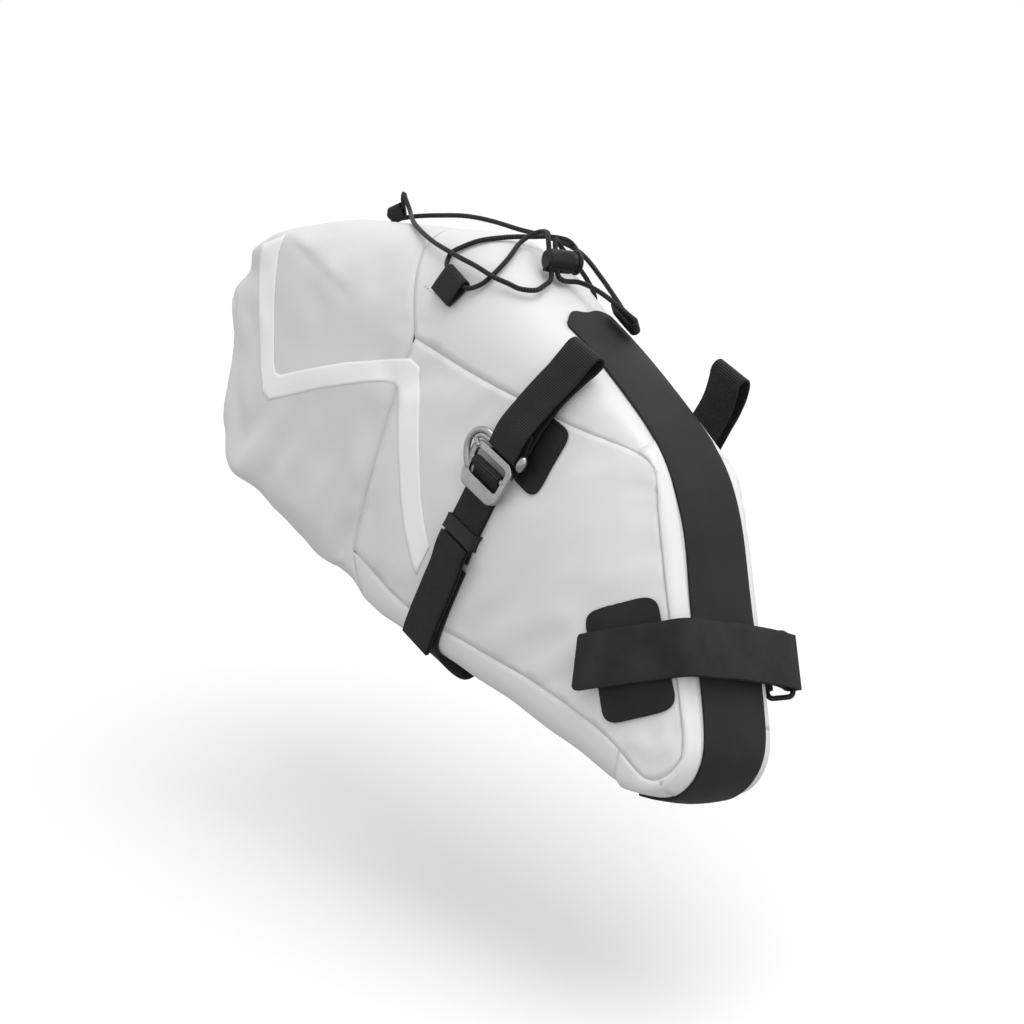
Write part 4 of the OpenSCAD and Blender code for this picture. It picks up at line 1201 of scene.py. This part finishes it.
lockShape = {"at": (-0.085, -0.010, 0.243), "along": 75, "radius": 0.0072, "length": 0.015, "lobes": 3,
             "lobeDepth": 0.12, "buttonRadius": 0.0074, "bores": (-0.0056, -0.0012), "boreRadius": 0.0019,
             "socket": 0.0075, "rim": 0.0016, "foot": 0.0009, "footRim": 0.0022, "footEdge": 0.0014,
             "stem": 0.0048, "shoulder": 0.0011, "waist": 0.05, "waistReach": 0.003}
lockTurn = (Matrix.Translation(Vector(lockShape["at"])) @ Matrix.Rotation(math.radians(lockShape["along"]), 4, "Z")
            @ Matrix.Rotation(math.radians(90), 4, "Y"))


def moulded(piece, width, segments, angle=35):
    softEdges(piece, width, segments, angle)
    applyAll(piece)


def pickFaces(piece, test):
    # selects faces by their middle and normal, in edit mode
    bpy.ops.object.mode_set(mode="EDIT")
    bpy.ops.mesh.select_mode(type="FACE")
    bpy.ops.mesh.select_all(action="DESELECT")
    shape = bmesh.from_edit_mesh(piece.data)
    for face in shape.faces:
        if test(face.calc_center_median(), face.normal):
            face.select_set(True)
    bmesh.update_edit_mesh(piece.data)


lockBody = added("cylinder", "cordLockBarrel", vertices=48, radius=lockShape["radius"], depth=lockShape["length"])
pickFaces(lockBody, lambda middle, normal: normal.z > 0.9)
drawnOut(-lockShape["socket"], lockShape["rim"])
pickFaces(lockBody, lambda middle, normal: normal.z < -0.9)
drawnOut(-lockShape["foot"], lockShape["footRim"])
bpy.ops.mesh.inset(thickness=lockShape["footEdge"])
closePiece()
for v in lockBody.data.vertices:
    around = math.atan2(v.co.y, v.co.x)
    reach = math.hypot(v.co.x, v.co.y)
    if reach > lockShape["radius"] * 0.9:
        waist = 1 - lockShape["waist"] * math.exp(-(v.co.z / lockShape["waistReach"]) ** 2)
        lobe = 1 - lockShape["lobeDepth"] * (0.5 - 0.5 * math.cos(lockShape["lobes"] * around)) * waist
        v.co.x *= lobe
        v.co.y *= lobe
moulded(lockBody, 0.0007, 3)
bores = [added("cylinder", "bore", vertices=20, radius=lockShape["boreRadius"], depth=0.04,
               location=(0, 0, bore), rotation=(0, math.radians(90), 0)) for bore in lockShape["bores"]]
for cutter in bores:
    cut = lockBody.modifiers.new("bore", "BOOLEAN")
    cut.object = cutter
    cut.solver = "EXACT"
applyAll(lockBody)
for cutter in bores:
    bpy.data.objects.remove(cutter)
lug = tubeAlong("lockLug", [(0.0052, 0.001, -0.0062), (0.0056, 0.001, -0.0084), (0.0058, 0.001, -0.0100)], 0.0011, 10)
lockBody = joined("cordLockBarrel", lockBody, lug)
lockBody.data.transform(lockTurn)
finishPiece(lockBody, "bag", blackPlastic, "moulded_plastic", "lock_barrel", angle=35)

lockButton = added("uv_sphere", "cordLockButton", segments=40, ring_count=16, radius=1.0)
lockButton.data.transform(Matrix.Diagonal((lockShape["buttonRadius"], lockShape["buttonRadius"], 0.0031, 1)))
pickFaces(lockButton, lambda middle, normal: middle.z < -0.0012)
bpy.ops.mesh.delete(type="FACE")
bpy.ops.mesh.select_all(action="DESELECT")
bpy.ops.mesh.select_mode(type="EDGE")
bpy.ops.mesh.select_non_manifold()
bpy.ops.mesh.edge_face_add()
drawnOut(-lockShape["stem"], lockShape["shoulder"])
closePiece()
moulded(lockButton, 0.0003, 2, 50)
lockButton.data.transform(Matrix.Translation((0, 0, lockShape["length"] / 2 + 0.0042)))
lockButton.data.transform(lockTurn)
finishPiece(lockButton, "lock_button_group", blackPlastic, "moulded_plastic", "lock_button", angle=50)
print("cord lock done")

hookShape = {"low": -9.4, "top": 18, "width": 38, "corner": 7.0, "window": (-1.5, 13.5), "rim": 4.6, "height": 58.28,
             "thick": 3.0, "bar": (6.5, 59.78, 1.8), "reach": (22.2, 58.6, 2.1), "tip": (3.0, 5.0, 3.2),
             "arm": [
                 (-14.5, 0, 60.2), (-18.5, 4, 60.9), (-21.5, 10, 61.8), (-22, 16, 62), (-19.5, 21, 61.2),
                 (-14, 23.6, 60), (-8, 22.8, 59)],
             "brace": [(-14, 14, 61), (-17.5, 17, 61.8), (-15, 20.3, 61), (-9, 20.6, 59.6)], "armRadius": 2.0,
             # the lip's share of the width and how soon it is full, its bend (from, over, by), how far the bars
             # stop short of the sides or run past them, the brace's share of the arm's radius, and the line's step
             "lipShare": 0.90, "lipReach": 1.6, "lipBend": (-2, 7, 0.8), "barShort": 3.2, "reachShort": 1.6,
             "reachPast": 1.0, "braceShare": 0.72, "lineStep": 0.8, "edge": 0.75}


def barAlong(name, first, last, radius, vertices=20):
    # a round bar between two places in millimetres of the web's own frame (across, along, out)
    first, last = Vector(first), Vector(last)
    bar = added("cylinder", name, vertices=vertices, radius=radius, depth=(last - first).length)
    turn = (last - first).to_track_quat("Z", "Y").to_matrix().to_4x4()
    bar.data.transform(Matrix.Translation((first + last) / 2) @ turn)
    return bar


def intoWeb(piece, side):
    # from across, along, out in millimetres to the bag's frame
    across, along = Vector(webFrame["across"]), Vector(webFrame["along"])
    out = Vector((0, side, 0))
    turn = Matrix((across / 1000, along / 1000, out / 1000)).transposed().to_4x4()
    piece.data.transform(Matrix.Translation(Vector(webFrame["foot"])) @ turn)
    if Vector(across).cross(along).dot(out) < 0:
        piece.data.flip_normals()


def makeHook():
    h = hookShape
    wide, long = h["width"], h["top"] - h["low"]
    plate = added("plane", "hookPlate", size=1)
    centre = (h["top"] + h["low"]) / 2
    plate.data.transform(Matrix.Translation((0, centre, h["height"])) @ Matrix.Diagonal((wide, long, 1, 1)))
    openPiece(plate)
    bpy.ops.mesh.bevel(offset=h["corner"], segments=6, affect="VERTICES")
    bpy.ops.mesh.inset(thickness=h["rim"])
    closePiece()
    inner = [v for face in plate.data.polygons if len(face.vertices) > 8 for v in face.vertices]
    low, top = h["window"]
    middle = (low + top) / 2
    reach = max(abs(plate.data.vertices[v].co.y - centre) for v in inner)
    for v in inner:
        spot = plate.data.vertices[v].co
        spot.y = middle + (spot.y - centre) / reach * (top - low) / 2
    for v in plate.data.vertices:  # the lower lip is narrower than the shoulders
        share = (v.co.y - h["low"]) / long
        v.co.x *= h["lipShare"] + (1 - h["lipShare"]) * min(1.0, share * h["lipReach"])
    pickFaces(plate, lambda middle, normal: abs(middle.x) < 1 and h["window"][0] < middle.y < h["window"][1])
    bpy.ops.mesh.delete(type="FACE")
    bpy.ops.mesh.select_all(action="SELECT")
    drawnOut(h["thick"])
    bpy.ops.mesh.select_all(action="SELECT")
    bpy.ops.mesh.normals_make_consistent(inside=False)
    closePiece()
    bendFrom, bendOver, bendBy = h["lipBend"]
    for v in plate.data.vertices:  # formed a little: the lip bends outwards
        if v.co.y < bendFrom:
            v.co.z += bendBy * ((bendFrom - v.co.y) / bendOver) ** 2
    moulded(plate, h["edge"], 3, 40)
    s, out, radius = h["bar"]
    crossBar = barAlong("hookCrossBar", (-wide / 2 + h["barShort"], s, out), (wide / 2 - h["barShort"], s, out),
                        radius)
    s, out, radius = h["reach"]
    hookBar = barAlong("hookBar", (-wide / 2 + h["reachShort"], s, out), (wide / 2 + h["reachPast"], s, out),
                       radius, 24)
    tip = added("uv_sphere", "hookTip", segments=24, ring_count=14, radius=1)
    tip.data.transform(Matrix.Translation((wide / 2 + h["reachPast"], s, out)) @ Matrix.Diagonal((*h["tip"], 1)))
    arm = tubeAlong("hookArm", denser(h["arm"], h["lineStep"]), h["armRadius"], 14)
    brace = tubeAlong("hookBrace", denser(h["brace"], h["lineStep"]), h["armRadius"] * h["braceShare"], 12)
    return joined("hookMetalwork", plate, crossBar, hookBar, tip, arm, brace)


keeperShape = {"at": -33.6, "long": 8.8, "wide": 27.2, "low": 52.9, "high": 59.4, "wall": 1.1,
               # the outer face's crown: from which height, its rise at the ends and its dip in the middle; then
               # how far the front side flares and lengthens, and the rounding of the edges
               "crownFrom": 58, "crownEnds": 0.5, "crownDip": 0.25, "flare": 0.9, "lengthen": 0.12, "edge": 0.35}


def makeKeeper():
    k = keeperShape
    keeper = added("cube", "keeperBand", size=1)
    keeper.data.transform(Matrix.Translation((0, k["at"], (k["low"] + k["high"]) / 2))
                          @ Matrix.Diagonal((k["wide"], k["long"], k["high"] - k["low"], 1)))
    pickFaces(keeper, lambda middle, normal: abs(normal.y) > 0.9)
    bpy.ops.mesh.delete(type="FACE")
    bpy.ops.mesh.select_all(action="SELECT")
    bpy.ops.mesh.subdivide(number_cuts=3)
    closePiece()
    for v in keeper.data.vertices:
        across = abs(v.co.x) / (k["wide"] / 2)
        edge = abs(v.co.y - k["at"]) / (k["long"] / 2)
        if v.co.z > k["crownFrom"]:
            v.co.z += k["crownEnds"] * edge ** 3 - k["crownDip"] * (1 - across ** 2)
        if v.co.x > k["wide"] / 2 - 0.5:
            v.co.x += k["flare"] * edge ** 2
            v.co.y += k["lengthen"] * (v.co.y - k["at"])
    wall = keeper.modifiers.new("wall", "SOLIDIFY")
    wall.thickness = k["wall"]
    wall.offset = -1
    applyAll(keeper)
    moulded(keeper, k["edge"], 3, 40)
    return keeper


hookRight, keeperRight = makeHook(), makeKeeper()
for side, sideName in ((-1, "right"), (1, "left")):
    for source, name, body, material, slotName in (
            (hookRight, "Hook", "_hook_group", hookMetal, "hook_aluminium"),
            (keeperRight, "Keeper", "_keeper_group", keeperRubber, "keeper_rubber")):
        piece = copyPiece(source, sideName + name)
        intoWeb(piece, side)
        finishPiece(piece, sideName + body, material, slotName, sideName + "_" + name.lower(), angle=35)
for piece in (hookRight, keeperRight):
    bpy.data.objects.remove(piece)
print("hooks and keepers done")

stripeShape = {
    "lift": 0.00022, "thickness": 0.00016,
    "pairs": [
        ((261.2, 245.1), (285.2, 234.6)), ((259, 265.5), (278.8, 254.4)), ((258.1, 287.6), (275.6, 283.9)),
        ((258.6, 315), (274.7, 303)), ((259.4, 339.4), (274.5, 320.9)), ((260.3, 367.1), (274.1, 360)),
        ((262.5, 392.1), (276, 372.7)), ((268.6, 400), (280.6, 374.9)), ((288.9, 395.4), (294, 371.8)),
        ((316.7, 388.9), (318, 367)), ((344.4, 384.7), (346, 362.3)), ((370, 381.6), (372, 360.6)),
        ((385.1, 381.4), (396, 358.6)), ((394.3, 383.8), (410.9, 358.4)), ((398, 389.3), (419.8, 367.1)),
        ((397.1, 413.3), (419.8, 394.8)), ((397.4, 431), (419.5, 422)), ((397.6, 450.3), (419.3, 450.3)),
        ((399, 474), (420.2, 474)), ((400.4, 498.4), (421.1, 498.4)), ((404, 530), (424.5, 523)),
        ((412, 565), (428, 541)), ((418, 578), (430, 548))],
}


def makeStripe():
    rows = []
    pairs = stripeShape["pairs"]
    for k in range(len(pairs) - 1):
        for part in range(4):
            f = part / 4
            row = []
            for j in range(9):
                t = j / 8
                x = sum(w * (pairs[i][0][0] * (1 - t) + pairs[i][1][0] * t) for i, w in ((k, 1 - f), (k + 1, f)))
                y = sum(w * (pairs[i][0][1] * (1 - t) + pairs[i][1][1] * t) for i, w in ((k, 1 - f), (k + 1, f)))
                row.append(placeOn(clothTree, x, y)[0])
            rows.append(row)
    right = [laidOn(row, stripeShape["lift"]) for row in rows]
    left = [laidOn(otherSide(reversed(row)), stripeShape["lift"]) for row in rows]
    for name, made in (("rightStripe", right), ("leftStripe", left)):
        piece = rowsPiece(name, made)
        thicken(piece, stripeShape["thickness"], 0.0)
        finishPiece(piece, "bag", stripeFilm, "patch_laminate", angle=0)


makeStripe()
print("stripes done")

rollShape = {"centre": (-348.532, 261.987), "inner": 10.46, "outer": 16.15, "turns": 2.2, "wide": 0.062,
             "thickness": 0.0015,
             "webWide": 0.020, "webThick": 0.0013}
closureLines = {
    "closure_upper_webbing": [
        (-272.75, 328.45), (-280.92, 329.4), (-288.93, 329.93), (-296.56, 329.96), (-303.77, 329.42),
        (-310.92, 328.29), (-317.88, 326.65), (-324.39, 324.59), (-330.23, 322.21), (-335.16, 319.59),
        (-339.02, 316.78), (-342.04, 313.66), (-344.23, 310.23), (-345.64, 306.5), (-346.27, 302.6)],
    "closure_rear_webbing": [
        (-345.5, 296), (-349.5, 291), (-358.5, 283), (-361.23, 274.73), (-363.02, 272.64), (-364.47, 270.31),
        (-365.54, 267.79), (-366.23, 265.13), (-366.5, 262.39), (-366.35, 259.65), (-365.78, 256.96),
        (-364.81, 254.39), (-369.56, 240.43), (-369.51, 239.32), (-368.97, 238.35), (-368.07, 237.7),
        (-366.98, 237.5), (-365.9, 237.8), (-365.07, 238.54), (-364.64, 239.57)],
    "closure_lower_webbing": [
        (-325.35, 138.04), (-331.08, 143.27), (-336.26, 148.44), (-341.06, 153.19), (-345.55, 158.01),
        (-349.66, 163.41), (-353.27, 169.79), (-356.71, 177.5), (-360.35, 186.41), (-363.36, 196.1),
        (-364.81, 205.83), (-364.6, 225), (-364.88, 226.14), (-365.64, 227.03), (-366.73, 227.47), (-367.9, 227.37),
        (-368.89, 226.75), (-369.49, 225.74), (-369.56, 224.57), (-370, 216)],
}
coil = []
for k in range(141):
    angle = math.radians(360 - 360 * rollShape["turns"] * (1 - k / 140))
    radius = rollShape["inner"] + (rollShape["outer"] - rollShape["inner"]) * k / 140
    coil.append((rollShape["centre"][0] + radius * math.cos(angle),
                 rollShape["centre"][1] + radius * math.sin(angle)))


def inSide(points):
    return [Vector((x / 1000, 0, z / 1000)) for x, z in points]


strap("rolledMouth", inSide(coil), (0, 1, 0), rollShape["wide"], rollShape["thickness"], sleeveCloth, "sleeve_fabric",
      "roll",
      "roll_closure", columns=20)
for nodeName, line in closureLines.items():
    name = "closure" + nodeName.split("_")[1].capitalize() + "Strap"
    strap(name, inSide(line), (0, 1, 0), rollShape["webWide"], rollShape["webThick"], fineWebbing, "webbing",
          "roll" if "rear" in nodeName else "bag", nodeName)
print("rear closure done")

bartack = {"from": (424, 284), "to": (446, 303), "steps": 16, "wide": 0.0011, "radius": 0.00028, "lift": 0.00025}


def makeBartack():
    first, last = (placeOn(clothTree, *bartack[key])[0] for key in ("from", "to"))
    along = (last - first).normalized()
    across = along.cross(outwards(first)).normalized()
    line = [first.lerp(last, k / bartack["steps"]) + across * bartack["wide"] * (1 if k % 2 else -1)
            for k in range(bartack["steps"] + 1)]
    line = laidOn(denser(line, 0.0006, smooth=False), bartack["lift"])
    for name, way in (("rightTabStitch", line), ("leftTabStitch", laidOn(otherSide(line), bartack["lift"]))):
        finishPiece(tubeAlong(name, way, bartack["radius"], 6), "bag", whiteThread, "webbing", angle=0)


makeBartack()

# CAD pieces that stay in view
for nodeName, material in (("closure_hook", hookMetal), ("lock_spring", springWire),
                           ("right_stiffener", stiffSheet), ("left_stiffener", stiffSheet),
                           ("base_stiffener", stiffSheet),
                           ("roll_batten", blackPlastic)):
    dress(nodes[nodeName], material)
print("CAD pieces dressed")

# floor, light and background
stage = {"centre": (-0.185, 0.0, 0.131), "normal": (0.4254, -0.308, 0.851), "below": 0.232, "size": 6.0,
         "floorColour": (0.8, 0.8, 0.8, 1), "bounceColour": (0.4, 0.4, 0.4, 1), "glow": 0.05, "ambient": 0.80}


def makeFloor():
    normal = Vector(stage["normal"]).normalized()
    floor = added("grid", "paleFloor", x_subdivisions=4, y_subdivisions=4, size=stage["size"])
    turn = normal.to_track_quat("Z", "Y").to_matrix().to_4x4()
    floor.data.transform(Matrix.Translation(Vector(stage["centre"]) - normal * stage["below"]) @ turn)
    material = bpy.data.materials.new("paleFloor")
    material.use_nodes = True
    tree = material.node_tree
    tree.nodes.clear()
    out = addNode(tree, "ShaderNodeOutputMaterial")
    rays, side = addNode(tree, "ShaderNodeLightPath"), addNode(tree, "ShaderNodeNewGeometry")
    diffuse = addNode(tree, "ShaderNodeBsdfDiffuse")
    shade = mixColours(tree, rays.outputs["Is Camera Ray"], stage["bounceColour"][:3], stage["floorColour"][:3])
    tree.links.new(shade, diffuse.inputs["Color"])
    glow = addNode(tree, "ShaderNodeEmission", {"Color": (1, 1, 1, 1)})
    seen = mathNode(tree, "MULTIPLY", rays.outputs["Is Camera Ray"], stage["glow"])
    tree.links.new(seen, glow.inputs["Strength"])
    both = addNode(tree, "ShaderNodeAddShader")
    tree.links.new(diffuse.outputs[0], both.inputs[0])
    tree.links.new(glow.outputs[0], both.inputs[1])
    clear = addNode(tree, "ShaderNodeBsdfTransparent")
    mix = addNode(tree, "ShaderNodeMixShader")
    tree.links.new(side.outputs["Backfacing"], mix.inputs[0])
    tree.links.new(both.outputs[0], mix.inputs[1])
    tree.links.new(clear.outputs[0], mix.inputs[2])
    tree.links.new(mix.outputs[0], out.inputs["Surface"])
    dress(floor, material)


def makeWorld():
    world = bpy.data.worlds.new("studio")
    scene.world = world
    world.use_nodes = True
    tree = world.node_tree
    tree.nodes.clear()
    rays = addNode(tree, "ShaderNodeLightPath")
    seen = mathNode(tree, "MAXIMUM", rays.outputs["Is Camera Ray"], rays.outputs["Is Glossy Ray"])
    seen = mathNode(tree, "MAXIMUM", seen, rays.outputs["Is Transmission Ray"])
    strength = addNode(tree, "ShaderNodeMapRange", {"To Min": stage["ambient"], "To Max": 1.0})
    tree.links.new(seen, strength.inputs["Value"])
    background = addNode(tree, "ShaderNodeBackground", {"Color": (1, 1, 1, 1)})
    tree.links.new(strength.outputs["Result"], background.inputs["Strength"])
    out = addNode(tree, "ShaderNodeOutputWorld")
    tree.links.new(background.outputs[0], out.inputs["Surface"])


lamps = {
    # kind, place to the right, up and towards the camera from the bag's middle, softness (degrees or metres), strength
    "key": ("SUN", (0.30, 1.2, 0.42), 48, 1.35),
    "fill": ("AREA", (0.9, 0.35, 1.2), 1.4, 4.0),
}


def makeLamps():
    centre = Vector(stage["centre"])
    for name, (kind, place, softness, power) in lamps.items():
        spot = centre + viewRight * place[0] + viewUp * place[1] + viewBack * place[2]
        bpy.ops.object.light_add(type=kind, location=spot)
        lamp = bpy.context.object
        lamp.name = name + "Lamp"
        if kind == "SUN":
            lamp.data.angle = math.radians(softness)
        else:
            lamp.data.size = softness
        lamp.data.energy = power
        lamp.rotation_euler = (centre - spot).to_track_quat("-Z", "Y").to_euler()
        lamp.select_set(False)


makeFloor()
makeWorld()
makeLamps()
scene.view_settings.view_transform = "Standard"
print("floor, lamps and background done")


def shownPlaces(piece, everything, limit=900):
    # the picture places of a piece's points that nothing hides
    count = len(piece.data.vertices)
    out = []
    for k in range(0, count, max(1, count // limit)):
        spot = piece.data.vertices[k].co
        way = spot - viewPlace
        hit = everything.ray_cast(viewPlace, way.normalized())
        if hit[0] is not None and hit[3] > way.length - 0.0006:
            out.append(inPicture(spot))
    return np.array(out) if out else np.array([inPicture(v.co) for v in piece.data.vertices])


def measurePoints():
    seen = [o for o in scene.objects if o.type == "MESH" and not o.hide_render and o.name != "paleFloor"]
    everything = treeOf(*seen)
    named = bpy.data.objects
    shownCloth = list(panels.values()) + [named["gripStrip"]]
    cloth = np.concatenate([shownPlaces(piece, everything, 4000) for piece in shownCloth])
    side = shownPlaces(panels["right_side_panel"], everything, 4000)
    strip = shownPlaces(named["gripStrip"], everything, 3000)
    tail = shownPlaces(named["postStrapTail"], everything, 3000)
    lock = np.concatenate([shownPlaces(lockBody, everything), shownPlaces(lockButton, everything)])
    middle = lambda places: (places.min(0) + places.max(0)) / 2
    found = {"bagLeft": cloth[cloth[:, 0].argmin()], "bagRight": cloth[cloth[:, 0].argmax()],
             "bagTop": cloth[cloth[:, 1].argmin()], "bagBottom": cloth[cloth[:, 1].argmax()],
             "stripTip": strip[strip[:, 1].argmin()], "seamCorner": side[side[:, 1].argmin()],
             "sideSeamEnd": side[side[:, 0].argmin()], "strapEnd": tail[tail[:, 0].argmin()],
             "cordLock": middle(lock)}
    for key, name in (("railPatch", "rightRailPatch"), ("hookWindow", "rightHook"), ("keeper", "rightKeeper"),
                      ("nearTab", "rightCordTab"), ("strapPatch", "rightStrapPatch"), ("farLoop", "leftRailStrap")):
        found[key] = middle(shownPlaces(named[name], everything))
    stripe = shownPlaces(named["rightStripe"], everything, 3000)
    for key in ("stripeUpperCorner", "stripeLowerCorner"):
        aim = np.array(imagePoints[key])
        found[key] = stripe[((stripe - aim) ** 2).sum(1).argmin()]


measurePoints()
